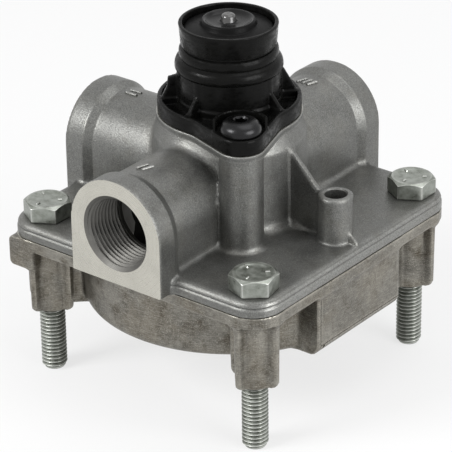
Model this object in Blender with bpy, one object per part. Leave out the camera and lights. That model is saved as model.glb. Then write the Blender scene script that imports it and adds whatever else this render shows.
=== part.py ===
"""Pneumatic relay valve: a square-flanged cast body with three threaded ports, a lower cover with the
relay piston in its bowl, a black exhaust snout on the neck, and the hollow inlet valve on the axis.

The origin is on the valve's axis, at the middle of the lower cover's flat underside. +Z is up, +X points at
the side of the body that has the small foot boss instead of a port.
"""
import math

import bmesh
import bpy
from mathutils import Matrix, Vector

MM = 0.001

# Fits
SEAT_GAP = 0.3 * MM            # between pieces that sit on each other
RUNNING_GAP = 0.4 * MM         # round a piece that slides in a bore
OVERCUT = 1.0 * MM             # how far a cutter runs past the face that it opens

# Flange that body and cover share
FLANGE_SIDE = 97.0 * MM
FLANGE_CORNER_R = 9.4 * MM
FLANGE_THICKNESS = 5.0 * MM
BEAD_HEIGHT = 2.7 * MM         # lower bead of the two-stepped flange edge
EDGE_GROOVE_DEPTH = 0.45 * MM
EDGE_GROOVE_WIDTH = 0.4 * MM
TOP_ROLL = 1.7 * MM
BOLT_INSET = 9.35 * MM         # bolt's axis from the flange's sides
BOLT_HOLE_R = 4.3 * MM

# Bolts, M8
BOLT_R = 3.95 * MM
BOLT_HEAD_FLATS = 13.0 * MM
BOLT_HEAD_HEIGHT = 5.1 * MM
BOLT_LENGTH = 52.0 * MM
BOLT_TIP_CHAMFER = 1.0 * MM
HEAD_TURNS = {"front": 41.0, "left": 30.0, "right": 30.0, "back": 12.0}   # degrees that each head is turned

# Lower cover
COVER_HEIGHT = 22.9 * MM
COVER_RIM = 3.5 * MM
BOWL_INSET = 2.7 * MM          # bowl's side from the flange's side
BOWL_WALL = 3.8 * MM
BOWL_FLOOR = 3.8 * MM
BOWL_EDGE_R = 1.6 * MM
POST_R = 5.6 * MM
POST_DROP = 2.5 * MM           # how far the posts reach below the bowl's underside
FIN_THICKNESS = 2.2 * MM
FIN_REACH = 8.4 * MM
FIN_STEP = 0.4 * MM
POST_WEB = 7.0 * MM
SIDE_PAD_WIDTH = 41.0 * MM
SIDE_PAD_BEVEL = 2.2 * MM
SIDE_PAD_SETBACK = 0.25 * MM   # behind the flange's side
LUG_WIDTH = 9.5 * MM
LUG_DEPTH = 3.4 * MM
LUG_HEIGHT = 9.6 * MM
LUG_SETBACK = 1.2 * MM
COVER_RING_LAND = 2.3 * MM     # cavity's wall to the middle of the ring
COVER_RING_SECTION_R = 0.6 * MM

# Ports
PORT_Z = 16.2 * MM             # axis above the parting plane
PORT_PROUD = 5.1 * MM          # delivery port's face past the flange's side
SUPPLY_PORT_PROUD = 2.8 * MM   # the control port's face is flush with it
PORT_RIM_R = 16.7 * MM
PORT_RIM_THICKNESS = 6.9 * MM
PORT_RIM_TAPER = 2.6 * MM
PORT_RIM_CHAMFER = 0.35 * MM
PORT_TUBE_R = 15.2 * MM
PORT_BORE_R = 10.5 * MM
PORT_MOUTH_R = 11.7 * MM
PORT_THREAD_DEPTH = 14.0 * MM
TUBE_FOOT_R = 2.2 * MM
RIM_FOOT_R = 0.5 * MM
DELIVERY_SLOT_WIDTH = 12.0 * MM
DELIVERY_SLOT_NEAR = 18.5 * MM
DELIVERY_LINK_R = 7.4 * MM
SUPPLY_DUCT_R = 6.3 * MM
SUPPLY_DUCT_Z = 22.4 * MM
CONTROL_BOSS_R = 10.3 * MM
CONTROL_BORE_R = 7.2 * MM
CONTROL_MOUTH_R = 8.2 * MM
CONTROL_BORE_DEPTH = 7.0 * MM
CONTROL_DUCT_R = 3.2 * MM
CONTROL_DUCT_DROP = 2.4 * MM   # the duct's axis below the port's axis

# Neck with its two screw columns
NECK_R = 23.0 * MM
NECK_TOP_R = 20.9 * MM
NECK_HEIGHT = 36.5 * MM        # top face above the parting plane
NECK_SHOULDER = 6.4 * MM       # length of the sloped stretch under the top pad
NECK_FOOT_R = 3.6 * MM
PAD_THICKNESS = 1.8 * MM
PAD_PROUD = 0.4 * MM           # past the snout's flange all round
COLUMN_SPREAD = 27.8 * MM
COLUMN_R = 6.5 * MM
COLUMN_FOOT_R = 3.0 * MM

# Bores on the axis, heights above the parting plane
DELIVERY_BORE_R = 12.5 * MM
SEAT_HOLE_R = 9.5 * MM
SEAT_Z = 15.0 * MM
SEAT_THICKNESS = 3.5 * MM
SEAT_RIDGE = 0.8 * MM
SEAT_RIDGE_WIDTH = 1.2 * MM
CHAMBER_R = 13.2 * MM
GUIDE_BORE_R = 14.5 * MM
GUIDE_SHOULDER_Z = 29.2 * MM

# Foot boss on the +X side, its web and gusset
FOOT_BOSS_R = 5.3 * MM
FOOT_BOSS_HEIGHT = 14.7 * MM   # above the flange
FOOT_HOLE_R = 3.3 * MM
FOOT_HOLE_DEPTH = 10.0 * MM
FOOT_BOSS_FILLET = 0.9 * MM
WEB_THICKNESS = 1.8 * MM
WEB_TOP_Z = 29.6 * MM
WEB_CORNER_R = 3.4 * MM
GUSSET_THICKNESS = 1.6 * MM
GUSSET_HEIGHT = 4.2 * MM
GUSSET_LENGTH = 4.2 * MM

# Exhaust snout
SNOUT_FLANGE_THICKNESS = 4.5 * MM
SNOUT_FLANGE_R = 21.0 * MM
SNOUT_LOBE_R = 6.6 * MM
SNOUT_FLANGE_EDGE = 0.5 * MM
SNOUT_HEIGHT = 27.7 * MM       # from the flange's underside to the rim
SNOUT_COLLAR_Z = 14.4 * MM     # widest place of the collar above the flange's underside
SNOUT_RING_LOW_Z = 17.8 * MM
SNOUT_RING_HIGH_Z = 19.3 * MM
SNOUT_GROOVE_Z = 20.3 * MM
SNOUT_GROOVE_DEPTH = 0.5 * MM
SNOUT_TUBE_R = 15.5 * MM
SNOUT_COLLAR_R = 16.15 * MM
SNOUT_RING_R = 14.8 * MM
SNOUT_CAP_R = 14.2 * MM
SNOUT_RIM_R = 14.8 * MM
SNOUT_RIM_WALL = 1.2 * MM
SNOUT_BORE_R = 12.3 * MM
SNOUT_LEDGE_DROP = 3.0 * MM    # flap's ledge below the rim
SNOUT_SPIGOT = 1.0 * MM
SNOUT_POCKET_WALL = 1.5 * MM   # outer wall round the pockets that core the flange
SNOUT_POCKET_FLOOR = 2.4 * MM
SNOUT_BOSS_R = 8.3 * MM        # solid round each screw
SNOUT_GUSSET_THICKNESS = 1.8 * MM
SNOUT_GUSSET_DROP = 1.6 * MM   # side gusset's top below the collar's widest place
SNOUT_RIB_THICKNESS = 1.3 * MM
SNOUT_RIB_HEIGHT = 4.6 * MM    # above the flange's top
SNOUT_RIB_MARGIN = 0.4 * MM    # by which the flange's solid strip is wider than the rib on it
SCREW_WALL_R = 8.0 * MM
SCREW_WALL = 0.9 * MM
SCREW_WALL_HEIGHT = 4.2 * MM
SPIDER_HUB_R = 3.4 * MM
SPIDER_HEIGHT = 2.6 * MM
SPIDER_DROP = 0.6 * MM         # below the flap's ledge
SPIDER_ARM = 1.8 * MM
SPIDER_ARMS = 4
SNOUT_RING_MEAN_R = 17.4 * MM
SNOUT_RING_SECTION_R = 0.75 * MM

# Snout screws, M5 pan head
SCREW_R = 2.45 * MM
SCREW_HOLE_R = 2.8 * MM
SCREW_HEAD_R = 6.0 * MM
SCREW_HEAD_HEIGHT = 3.9 * MM
SCREW_LENGTH = 16.0 * MM
SCREW_RECESS_R = 2.4 * MM
SCREW_RECESS_DEPTH = 1.9 * MM

# Exhaust flap
FLAP_THICKNESS = 0.9 * MM
FLAP_CONE_RISE = 1.4 * MM
FLAP_BEAD_R = 7.8 * MM
FLAP_BEAD_WIDTH = 1.3 * MM
FLAP_BEAD_HEIGHT = 1.2 * MM
FLAP_STEM_R = 1.3 * MM
FLAP_SHOULDER_R = 2.7 * MM
FLAP_KNOB_R = 2.1 * MM
FLAP_KNOB_HEIGHT = 4.1 * MM    # above the flap's edge
FLAP_BARB_LENGTH = 2.0 * MM

# Relay piston
PISTON_CROWN_DROP = 5.2 * MM   # crown below the parting plane at rest
PISTON_CROWN = 3.8 * MM
PISTON_SKIRT = 7.3 * MM
PISTON_SKIRT_WALL = 3.4 * MM
PISTON_HUB_R = 9.0 * MM
PISTON_TUBE_R = 8.4 * MM
PISTON_TUBE_BORE_R = 6.4 * MM
PISTON_TRAVEL = 4.5 * MM
VALVE_LIFT = 3.0 * MM
EXHAUST_GAP = 1.7 * MM         # piston's tip below the valve rubber at rest
PISTON_GROOVE_DEPTH = 1.8 * MM
PISTON_RING_SECTION_R = 0.85 * MM

# Inlet valve on the axis
STEM_R = 8.0 * MM
STEM_BORE_R = 5.8 * MM
STEM_TOP_Z = 46.5 * MM
VALVE_DISC_R = 12.2 * MM
VALVE_DISC = 2.2 * MM
RUBBER_THICKNESS = 2.2 * MM
GUIDE_HEIGHT = 4.5 * MM
GUIDE_GROOVE_DEPTH = 1.9 * MM
GUIDE_RING_SECTION_R = 0.75 * MM
STEM_RING_SECTION_R = 0.7 * MM
RETAINER_THICKNESS = 1.1 * MM
RETAINER_BITE = 1.0 * MM       # how far the retaining ring reaches into the bore's wall
RETAINER_WIDTH = 2.4 * MM
SPRING_R = 10.4 * MM
SPRING_WIRE_R = 0.7 * MM
SPRING_TURNS = 3.0

# Facets
ROUND_STEPS = 32
INNER_STEPS = 20
SMALL_STEPS = 12
HOLE_STEPS = 12
CORNER_STEPS = 4
RING_STEPS = 5

# Worked-out places, heights from the cover's underside
PARTING_Z = COVER_HEIGHT + SEAT_GAP
FLANGE_TOP_Z = PARTING_Z + FLANGE_THICKNESS
NECK_TOP_Z = PARTING_Z + NECK_HEIGHT
PORT_AXIS_Z = PARTING_Z + PORT_Z
FLANGE_HALF = FLANGE_SIDE / 2
BOLT_HALF = FLANGE_HALF - BOLT_INSET
BOWL_R = FLANGE_HALF - BOWL_INSET
PORT_REACH = FLANGE_HALF + PORT_PROUD
SUPPLY_PORT_REACH = FLANGE_HALF + SUPPLY_PORT_PROUD
CONTROL_REACH = SUPPLY_PORT_REACH
POST_FOOT_Z = -POST_DROP
CAVITY_R = BOWL_R - BOWL_WALL
COVER_RING_R = CAVITY_R + COVER_RING_LAND
SEAT_TOP_Z = PARTING_Z + SEAT_Z
GUIDE_SEAT_Z = PARTING_Z + GUIDE_SHOULDER_Z
SNOUT_Z = NECK_TOP_Z + SEAT_GAP
SNOUT_TOP_Z = SNOUT_Z + SNOUT_HEIGHT
SNOUT_FLANGE_TOP_Z = SNOUT_Z + SNOUT_FLANGE_THICKNESS
LEDGE_Z = SNOUT_TOP_Z - SNOUT_LEDGE_DROP
RUBBER_Z = SEAT_TOP_Z + SEAT_GAP
DISC_Z = RUBBER_Z + RUBBER_THICKNESS + SEAT_GAP
GUIDE_Z = GUIDE_SEAT_Z + SEAT_GAP
GUIDE_R = GUIDE_BORE_R - SEAT_GAP
RETAINER_Z = GUIDE_Z + GUIDE_HEIGHT + SEAT_GAP
PISTON_TOP_Z = PARTING_Z - PISTON_CROWN_DROP
PISTON_R = CAVITY_R - RUNNING_GAP
CORNERS = {"front": (1, -1), "left": (-1, -1), "right": (1, 1), "back": (-1, 1)}
SCREW_SIDES = {"front": 1, "back": -1}
SNOUT_RIB_TURNS = (0, 90)       # degrees of the small ribs, which cross the axis
# Degrees that each port is turned from the -Y side, and its face from the axis
PORT_SIDES = {"front": (0.0, PORT_REACH), "left": (-90.0, SUPPLY_PORT_REACH), "back": (180.0, PORT_REACH)}
DIAGONAL = Vector((math.sqrt(0.5), -math.sqrt(0.5), 0.0))


def clear_scene():
    """Remove whatever the scene holds."""
    for thing in list(bpy.data.objects):
        bpy.data.objects.remove(thing, do_unlink=True)


def material(name, colour, roughness, metallic):
    """A plain Principled material."""
    made = bpy.data.materials.new(name)
    made.use_nodes = True
    shader = made.node_tree.nodes["Principled BSDF"]
    shader.inputs["Base Color"].default_value = (*colour, 1.0)
    shader.inputs["Roughness"].default_value = roughness
    shader.inputs["Metallic"].default_value = metallic
    return made


def as_object(name, bm):
    """Turn a bmesh into a scene object with outward faces."""
    bmesh.ops.remove_doubles(bm, verts=bm.verts, dist=1e-7)
    bmesh.ops.recalc_face_normals(bm, faces=bm.faces)
    mesh = bpy.data.meshes.new(name)
    bm.to_mesh(mesh)
    bm.free()
    made = bpy.data.objects.new(name, mesh)
    bpy.context.scene.collection.objects.link(made)
    return made


def turned(name, profile, steps=ROUND_STEPS, centre=(0.0, 0.0)):
    """Spin a profile of (radius, height) points round an upright axis.

    A profile that starts off the axis is closed to a ring.
    """
    bm = bmesh.new()
    ring = [bm.verts.new((radius, 0.0, height)) for radius, height in profile]
    edges = [bm.edges.new(pair) for pair in zip(ring, ring[1:])]
    if profile[0][0] > 0.0:
        edges.append(bm.edges.new((ring[-1], ring[0])))
    bmesh.ops.spin(bm, geom=ring + edges, cent=(0, 0, 0), axis=(0, 0, 1), angle=math.tau, steps=steps,
                   use_merge=True)
    bmesh.ops.translate(bm, verts=bm.verts, vec=(centre[0], centre[1], 0.0))
    return as_object(name, bm)


def extruded(name, outline, low, high):
    """Extrude an outline of (x, y) points from one height to another."""
    bm = bmesh.new()
    face = bm.faces.new([bm.verts.new((x, y, low)) for x, y in outline])
    lifted = bmesh.ops.extrude_face_region(bm, geom=[face])["geom"]
    moved = [item for item in lifted if isinstance(item, bmesh.types.BMVert)]
    bmesh.ops.translate(bm, verts=moved, vec=(0.0, 0.0, high - low))
    return as_object(name, bm)


def lofted(name, rings):
    """Skin a stack of rings of points, each with as many points as the next, and cap both ends."""
    bm = bmesh.new()
    loops = [[bm.verts.new(point) for point in ring] for ring in rings]
    for lower, upper in zip(loops, loops[1:]):
        for i, start in enumerate(lower):
            after = (i + 1) % len(lower)
            bm.faces.new((start, lower[after], upper[after], upper[i]))
    bm.faces.new(loops[0])
    bm.faces.new(loops[-1])
    return as_object(name, bm)


def arc(centre, radius, start, end, steps):
    """Points on an arc, from one angle to another in degrees."""
    angles = [math.radians(start + (end - start) * i / steps) for i in range(steps + 1)]
    return [(centre[0] + radius * math.cos(a), centre[1] + radius * math.sin(a)) for a in angles]


def rounded_square(half, corner):
    """Outline of a square with rounded corners."""
    flat = half - corner
    outline = []
    for quarter, (sx, sy) in enumerate(((1, 1), (-1, 1), (-1, -1), (1, -1))):
        outline += arc((sx * flat, sy * flat), corner, 90 * quarter, 90 * quarter + 90, CORNER_STEPS)
    return outline


def box(name, low, high):
    """A block between two corners."""
    return extruded(name, [(low[0], low[1]), (high[0], low[1]), (high[0], high[1]), (low[0], high[1])],
                    low[2], high[2])


def turn_part(part, matrix):
    """Turn or move a helper's mesh in place."""
    part.data.transform(matrix)
    if matrix.determinant() < 0:
        part.data.flip_normals()
    return part


def combined(base, others, operation):
    """Join helpers to a piece, or cut them out of it, and keep the result as its mesh."""
    for other in others:
        other.hide_render = True
        other.display_type = "WIRE"
        step = base.modifiers.new(other.name, "BOOLEAN")
        step.operation = operation
        step.solver = "EXACT"
        step.object = other
    graph = bpy.context.evaluated_depsgraph_get()
    result = bpy.data.meshes.new_from_object(base.evaluated_get(graph))
    base.modifiers.clear()
    base.data = result
    for other in others:
        bpy.data.objects.remove(other, do_unlink=True)
    return base


def joined(base, others):
    return combined(base, others, "UNION")


def cut(base, others):
    return combined(base, others, "DIFFERENCE")


def finished(part, look, crease=32.0):
    """Give a piece its material and smooth its round faces."""
    part.data.materials.clear()
    part.data.materials.append(look)
    part.data.shade_smooth()
    part.data.set_sharp_from_angle(angle=math.radians(crease))
    return part


def ring_seal(name, mean_r, section_r, height, look, steps=INNER_STEPS):
    """An O-ring round the axis."""
    section = arc((mean_r, height), section_r, 0, 360, RING_STEPS)[:-1]
    return finished(turned(name, section, steps), look, 80.0)


def rhombus(grow):
    """The two-lobed flange outline: tangents between the middle circle and the two screw lobes."""
    middle = SNOUT_FLANGE_R + grow
    lobe = SNOUT_LOBE_R + grow
    lean = math.degrees(math.acos((middle - lobe) / COLUMN_SPREAD))
    outline = arc((COLUMN_SPREAD, 0.0), lobe, -lean, lean, 8)
    outline += arc((0.0, 0.0), middle, lean, 180 - lean, 6)
    outline += arc((-COLUMN_SPREAD, 0.0), lobe, 180 - lean, 180 + lean, 8)
    outline += arc((0.0, 0.0), middle, 180 + lean, 360 - lean, 6)
    turn = Matrix.Rotation(math.radians(-45), 2)
    return [tuple(turn @ Vector(point)) for point in outline]


# Body

def port_outline(radius, foot, bottom):
    """Arch section of a port, as (across, height): a half round on straight sides, with a flared foot."""
    half = arc((0.0, PORT_AXIS_Z), radius, 0, 90, 8)
    right = [(radius + foot, bottom)]
    right += [(radius + foot - foot * math.sin(math.radians(a)),
               FLANGE_TOP_Z + foot - foot * math.cos(math.radians(a)))
              for a in (0, 45, 90)]
    right += half
    left = [(-across, height) for across, height in reversed(right[:-1])]
    return right + left


def port_solid(name, side, port_reach):
    """One port's arch-shaped rim and tube, running from its face into the neck."""
    bottom = PARTING_Z - OVERCUT
    stations = [
        (port_reach, PORT_RIM_R - PORT_RIM_CHAMFER, RIM_FOOT_R),
        (port_reach - PORT_RIM_CHAMFER, PORT_RIM_R, RIM_FOOT_R),
        (port_reach - PORT_RIM_THICKNESS, PORT_RIM_R, RIM_FOOT_R),
        (port_reach - PORT_RIM_THICKNESS - PORT_RIM_TAPER, PORT_TUBE_R, TUBE_FOOT_R),
        (NECK_R * 0.6, PORT_TUBE_R, TUBE_FOOT_R),
    ]
    rings = [[(across, -reach, height) for across, height in port_outline(radius, foot, bottom)]
             for reach, radius, foot in stations]
    return turn_part(lofted(name, rings), Matrix.Rotation(math.radians(side), 4, "Z"))


def threaded_bore(name, bore_r, mouth_r, depth, reach, height, side):
    """Cutter for a threaded port: chamfered mouth, tapping bore and its drill point."""
    chamfer = mouth_r - bore_r
    profile = [(0.0, -OVERCUT), (mouth_r + OVERCUT, -OVERCUT), (bore_r, chamfer), (bore_r, depth),
               (0.0, depth + 0.3 * bore_r)]
    cutter = turned(name, profile, INNER_STEPS)
    inward = Matrix.Translation((0.0, -reach, height)) @ Matrix.Rotation(math.radians(-90), 4, "X")
    return turn_part(cutter, Matrix.Rotation(math.radians(side), 4, "Z") @ inward)


def body_flange():
    """Square flange with its two-stepped, rolled edge."""
    half = FLANGE_HALF
    groove = PARTING_Z + BEAD_HEIGHT
    top = FLANGE_TOP_Z
    levels = [(0.3 * MM, PARTING_Z - OVERCUT), (0.3 * MM, PARTING_Z), (0.0, PARTING_Z + 0.35 * MM),
              (0.0, groove - 0.45 * MM),
              (0.2 * MM, groove - 0.1 * MM), (EDGE_GROOVE_DEPTH, groove),
              (EDGE_GROOVE_DEPTH, groove + EDGE_GROOVE_WIDTH)]
    roll_low = groove + EDGE_GROOVE_WIDTH
    for a in (0, 30, 60, 90):
        inset = EDGE_GROOVE_DEPTH - 0.2 * MM + TOP_ROLL * (1 - math.cos(math.radians(a)))
        levels.append((inset, roll_low + (top - roll_low) * math.sin(math.radians(a))))
    rings = [[(x, y, z) for x, y in rounded_square(half - inset, FLANGE_CORNER_R - inset)]
             for inset, z in levels]
    return lofted("valve_body", rings)


def foot_profile(radius, foot, low, high):
    """Profile of an upright round form with a flared foot on the flange."""
    flare = [(radius + foot - foot * math.sin(math.radians(a)),
              FLANGE_TOP_Z + foot - foot * math.cos(math.radians(a)))
             for a in (0, 30, 60, 90)]
    return [(0.0, low), (radius + foot, low)] + flare + [(radius, high), (0.0, high)]


def neck():
    """Round neck with flared foot and sloped shoulder."""
    profile = foot_profile(NECK_R, NECK_FOOT_R, PARTING_Z + OVERCUT, NECK_TOP_Z - NECK_SHOULDER)[:-1]
    profile += [(NECK_TOP_R, NECK_TOP_Z - PAD_THICKNESS), (NECK_TOP_R, NECK_TOP_Z - OVERCUT),
                (0.0, NECK_TOP_Z - OVERCUT)]
    return turned("neck", profile)


def foot_web():
    """Triangular web that stands between the neck and the foot boss."""
    boss_x = BOLT_HALF
    start = NECK_R - 2.0 * MM
    peak = PARTING_Z + WEB_TOP_Z
    foot = FLANGE_TOP_Z + FOOT_BOSS_HEIGHT - 1.0 * MM
    outline = [(start, FLANGE_TOP_Z - OVERCUT), (boss_x, FLANGE_TOP_Z - OVERCUT), (boss_x, foot),
               (boss_x - FOOT_BOSS_R, foot),
               (start + 2.0 * MM, peak), (start, peak)]
    web = extruded("foot_web", outline, -WEB_THICKNESS / 2, WEB_THICKNESS / 2)
    return turn_part(web, Matrix.Rotation(math.radians(90), 4, "X"))


def foot_gusset():
    """Small gusset from the foot boss to the flange's edge."""
    near = BOLT_HALF + FOOT_BOSS_R - 1.0 * MM
    far = min(BOLT_HALF + FOOT_BOSS_R + GUSSET_LENGTH, FLANGE_HALF - TOP_ROLL)
    outline = [(near, FLANGE_TOP_Z - OVERCUT), (far, FLANGE_TOP_Z - OVERCUT),
               (far, FLANGE_TOP_Z + 0.4 * MM),
               (near + 1.0 * MM, FLANGE_TOP_Z + GUSSET_HEIGHT), (near, FLANGE_TOP_Z + GUSSET_HEIGHT)]
    gusset = extruded("foot_gusset", outline, -GUSSET_THICKNESS / 2, GUSSET_THICKNESS / 2)
    return turn_part(gusset, Matrix.Rotation(math.radians(90), 4, "X"))


def valve_bores():
    """The stepped bore on the axis: delivery bore, inlet seat, chamber, guide bore and groove."""
    low = PARTING_Z - OVERCUT
    seat_low = SEAT_TOP_Z - SEAT_THICKNESS
    floor = SEAT_TOP_Z - SEAT_RIDGE
    groove_low = RETAINER_Z - 0.2 * MM
    groove_high = RETAINER_Z + RETAINER_THICKNESS + 0.2 * MM
    groove_r = GUIDE_BORE_R + RETAINER_BITE + 0.3 * MM
    ridge_r = SEAT_HOLE_R + SEAT_RIDGE_WIDTH
    return turned("valve_bores", [
        (0.0, low), (DELIVERY_BORE_R, low), (DELIVERY_BORE_R, seat_low), (SEAT_HOLE_R, seat_low),
        (SEAT_HOLE_R, SEAT_TOP_Z),
        (ridge_r, SEAT_TOP_Z), (ridge_r + 0.4 * MM, floor), (CHAMBER_R, floor), (CHAMBER_R, GUIDE_SEAT_Z),
        (GUIDE_BORE_R, GUIDE_SEAT_Z), (GUIDE_BORE_R, groove_low), (groove_r, groove_low),
        (groove_r, groove_high),
        (GUIDE_BORE_R, groove_high), (GUIDE_BORE_R, NECK_TOP_Z + OVERCUT),
        (0.0, NECK_TOP_Z + OVERCUT)], INNER_STEPS)


def delivery_duct(name, sign):
    """Slot from a delivery port's bore down to the space above the relay piston."""
    far = PORT_REACH - PORT_THREAD_DEPTH - 1.0 * MM
    half = DELIVERY_SLOT_WIDTH / 2
    ends = sorted((sign * DELIVERY_SLOT_NEAR, sign * far))
    return box(name, (-half, ends[0], PARTING_Z - OVERCUT), (half, ends[1], PORT_AXIS_Z))


def delivery_link(name, side):
    """Plain bore that carries a delivery port on to its slot."""
    start = PORT_THREAD_DEPTH - OVERCUT
    end = PORT_REACH - DELIVERY_SLOT_NEAR - 2.0 * MM
    profile = [(0.0, start), (DELIVERY_LINK_R, start), (DELIVERY_LINK_R, end), (0.0, end)]
    bore = turned(name, profile, SMALL_STEPS)
    mouth = Matrix.Translation((0.0, -PORT_REACH, PORT_AXIS_Z))
    inward = mouth @ Matrix.Rotation(math.radians(-90), 4, "X")
    return turn_part(bore, Matrix.Rotation(math.radians(side), 4, "Z") @ inward)


def supply_duct():
    """Bore from the supply port into the chamber over the inlet seat."""
    start = PORT_THREAD_DEPTH - OVERCUT
    end = SUPPLY_PORT_REACH - CHAMBER_R * 0.8
    profile = [(0.0, start), (SUPPLY_DUCT_R, start), (SUPPLY_DUCT_R, end), (0.0, end)]
    bore = turned("supply_duct", profile, SMALL_STEPS)
    level = Matrix.Rotation(math.radians(-90), 4, "X")
    inward = Matrix.Translation((0.0, -SUPPLY_PORT_REACH, PARTING_Z + SUPPLY_DUCT_Z)) @ level
    return turn_part(bore, Matrix.Rotation(math.radians(-90), 4, "Z") @ inward)


def valve_body(look):
    body = body_flange()
    additions = [neck(), extruded("top_pad", rhombus(PAD_PROUD), NECK_TOP_Z - PAD_THICKNESS, NECK_TOP_Z)]
    for name, sign in SCREW_SIDES.items():
        profile = foot_profile(COLUMN_R, COLUMN_FOOT_R, PARTING_Z + OVERCUT, NECK_TOP_Z - PAD_THICKNESS / 2)
        centre = DIAGONAL * (sign * COLUMN_SPREAD)
        additions.append(turned("column_" + name, profile, SMALL_STEPS, centre))
    for name, (side, port_reach) in PORT_SIDES.items():
        additions.append(port_solid("port_" + name, side, port_reach))
    boss_top = FLANGE_TOP_Z + FOOT_BOSS_HEIGHT
    boss = foot_profile(FOOT_BOSS_R, FOOT_BOSS_FILLET, PARTING_Z + OVERCUT, boss_top)
    additions.append(turned("foot_boss", boss, SMALL_STEPS, (BOLT_HALF, 0.0)))
    additions += [foot_web(), foot_gusset()]
    joined(body, additions)

    reach = FLANGE_SIDE
    cutters = [box("machined_underside", (-reach, -reach, -reach), (reach, reach, PARTING_Z)),
               valve_bores(), supply_duct()]
    for name, (side, port_reach) in PORT_SIDES.items():
        cutters.append(threaded_bore("bore_" + name, PORT_BORE_R, PORT_MOUTH_R, PORT_THREAD_DEPTH,
                                     port_reach, PORT_AXIS_Z, side))
    cutters += [delivery_duct("duct_front", -1), delivery_duct("duct_back", 1)]
    cutters += [delivery_link("link_front", 0), delivery_link("link_back", 180)]
    for name, (sx, sy) in CORNERS.items():
        hole = [(0.0, PARTING_Z - OVERCUT), (BOLT_HOLE_R, PARTING_Z - OVERCUT),
                (BOLT_HOLE_R, FLANGE_TOP_Z + OVERCUT),
                (0.0, FLANGE_TOP_Z + OVERCUT)]
        cutters.append(turned("bolt_hole_" + name, hole, HOLE_STEPS, (sx * BOLT_HALF, sy * BOLT_HALF)))
    foot_low = boss_top - FOOT_HOLE_DEPTH
    foot_hole = [(0.0, foot_low), (FOOT_HOLE_R, foot_low + 0.8 * MM), (FOOT_HOLE_R, boss_top - 0.4 * MM),
                 (FOOT_HOLE_R + 0.4 * MM + OVERCUT, boss_top + OVERCUT), (0.0, boss_top + OVERCUT)]
    cutters.append(turned("foot_hole", foot_hole, HOLE_STEPS, (BOLT_HALF, 0.0)))
    screw_low = SNOUT_FLANGE_TOP_Z + SEAT_GAP - SCREW_LENGTH - 2.0 * MM
    for name, sign in SCREW_SIDES.items():
        hole = [(0.0, screw_low), (SCREW_HOLE_R, screw_low), (SCREW_HOLE_R, NECK_TOP_Z + OVERCUT),
                (0.0, NECK_TOP_Z + OVERCUT)]
        cutters.append(turned("screw_hole_" + name, hole, HOLE_STEPS, DIAGONAL * (sign * COLUMN_SPREAD)))
    return finished(cut(body, cutters), look)


# Lower cover

def post_solids(name, sx, sy):
    """One corner post: round boss, crossed fins with rounded lower corners, and the web to the bowl."""
    x, y = sx * BOLT_HALF, sy * BOLT_HALF
    top = COVER_HEIGHT - COVER_RIM / 2
    boss = turned("post_" + name, [(0.0, POST_FOOT_Z), (POST_R, POST_FOOT_Z), (POST_R, top),
                                   (0.0, top)], SMALL_STEPS, (x, y))
    low = POST_FOOT_Z + FIN_STEP
    corner = FIN_THICKNESS
    reach = FIN_REACH
    plate = [(reach, top)] + [(-reach, top)] + arc((-reach + corner, low + corner), corner, 180, 270, 4)
    plate += arc((reach - corner, low + corner), corner, 270, 360, 4)
    pieces = [boss]
    for turn in (0, 90):
        fin = extruded(f"fin_{name}_{turn}", plate, -FIN_THICKNESS / 2, FIN_THICKNESS / 2)
        stand = Matrix.Rotation(math.radians(turn), 4, "Z") @ Matrix.Rotation(math.radians(90), 4, "X")
        pieces.append(turn_part(fin, Matrix.Translation((x, y, 0.0)) @ stand))
    inner = CAVITY_R + BOWL_WALL / 2
    outer = BOLT_HALF * math.sqrt(2)
    web = box("web_" + name, (inner, -POST_WEB / 2, low + corner / 2), (outer, POST_WEB / 2, top))
    pieces.append(turn_part(web, Matrix.Rotation(math.atan2(sy, sx), 4, "Z")))
    return pieces


def corner_lug():
    """Square lug at the left corner, flush with the cover's front side."""
    low_x = -FLANGE_HALF + LUG_SETBACK
    high_x = low_x + LUG_WIDTH
    top = COVER_HEIGHT
    low = top - LUG_HEIGHT
    outline = [(high_x, top), (low_x + 1.4 * MM, top)] + arc((low_x + 1.4 * MM, top - 1.4 * MM),
                                                             1.4 * MM, 90, 180, 4)
    outline += arc((low_x + 3.2 * MM, low + 3.2 * MM), 3.2 * MM, 180, 250, 5) + [(high_x, low - 0.8 * MM)]
    lug = extruded("lug", outline, FLANGE_HALF - LUG_DEPTH, FLANGE_HALF)
    return turn_part(lug, Matrix.Rotation(math.radians(90), 4, "X"))


def side_pad():
    """Flat pad on the +X side, between the bowl and the flange's side, with a bevelled foot."""
    face = FLANGE_HALF - SIDE_PAD_SETBACK
    low = 0.2 * MM
    top = COVER_HEIGHT - COVER_RIM / 2
    inner = BOWL_R - 9.0 * MM
    outline = [(inner, low), (face - SIDE_PAD_BEVEL, low), (face, low + SIDE_PAD_BEVEL), (face, top),
               (inner, top)]
    pad = extruded("side_pad", outline, -SIDE_PAD_WIDTH / 2, SIDE_PAD_WIDTH / 2)
    return turn_part(pad, Matrix.Rotation(math.radians(90), 4, "X"))


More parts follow.
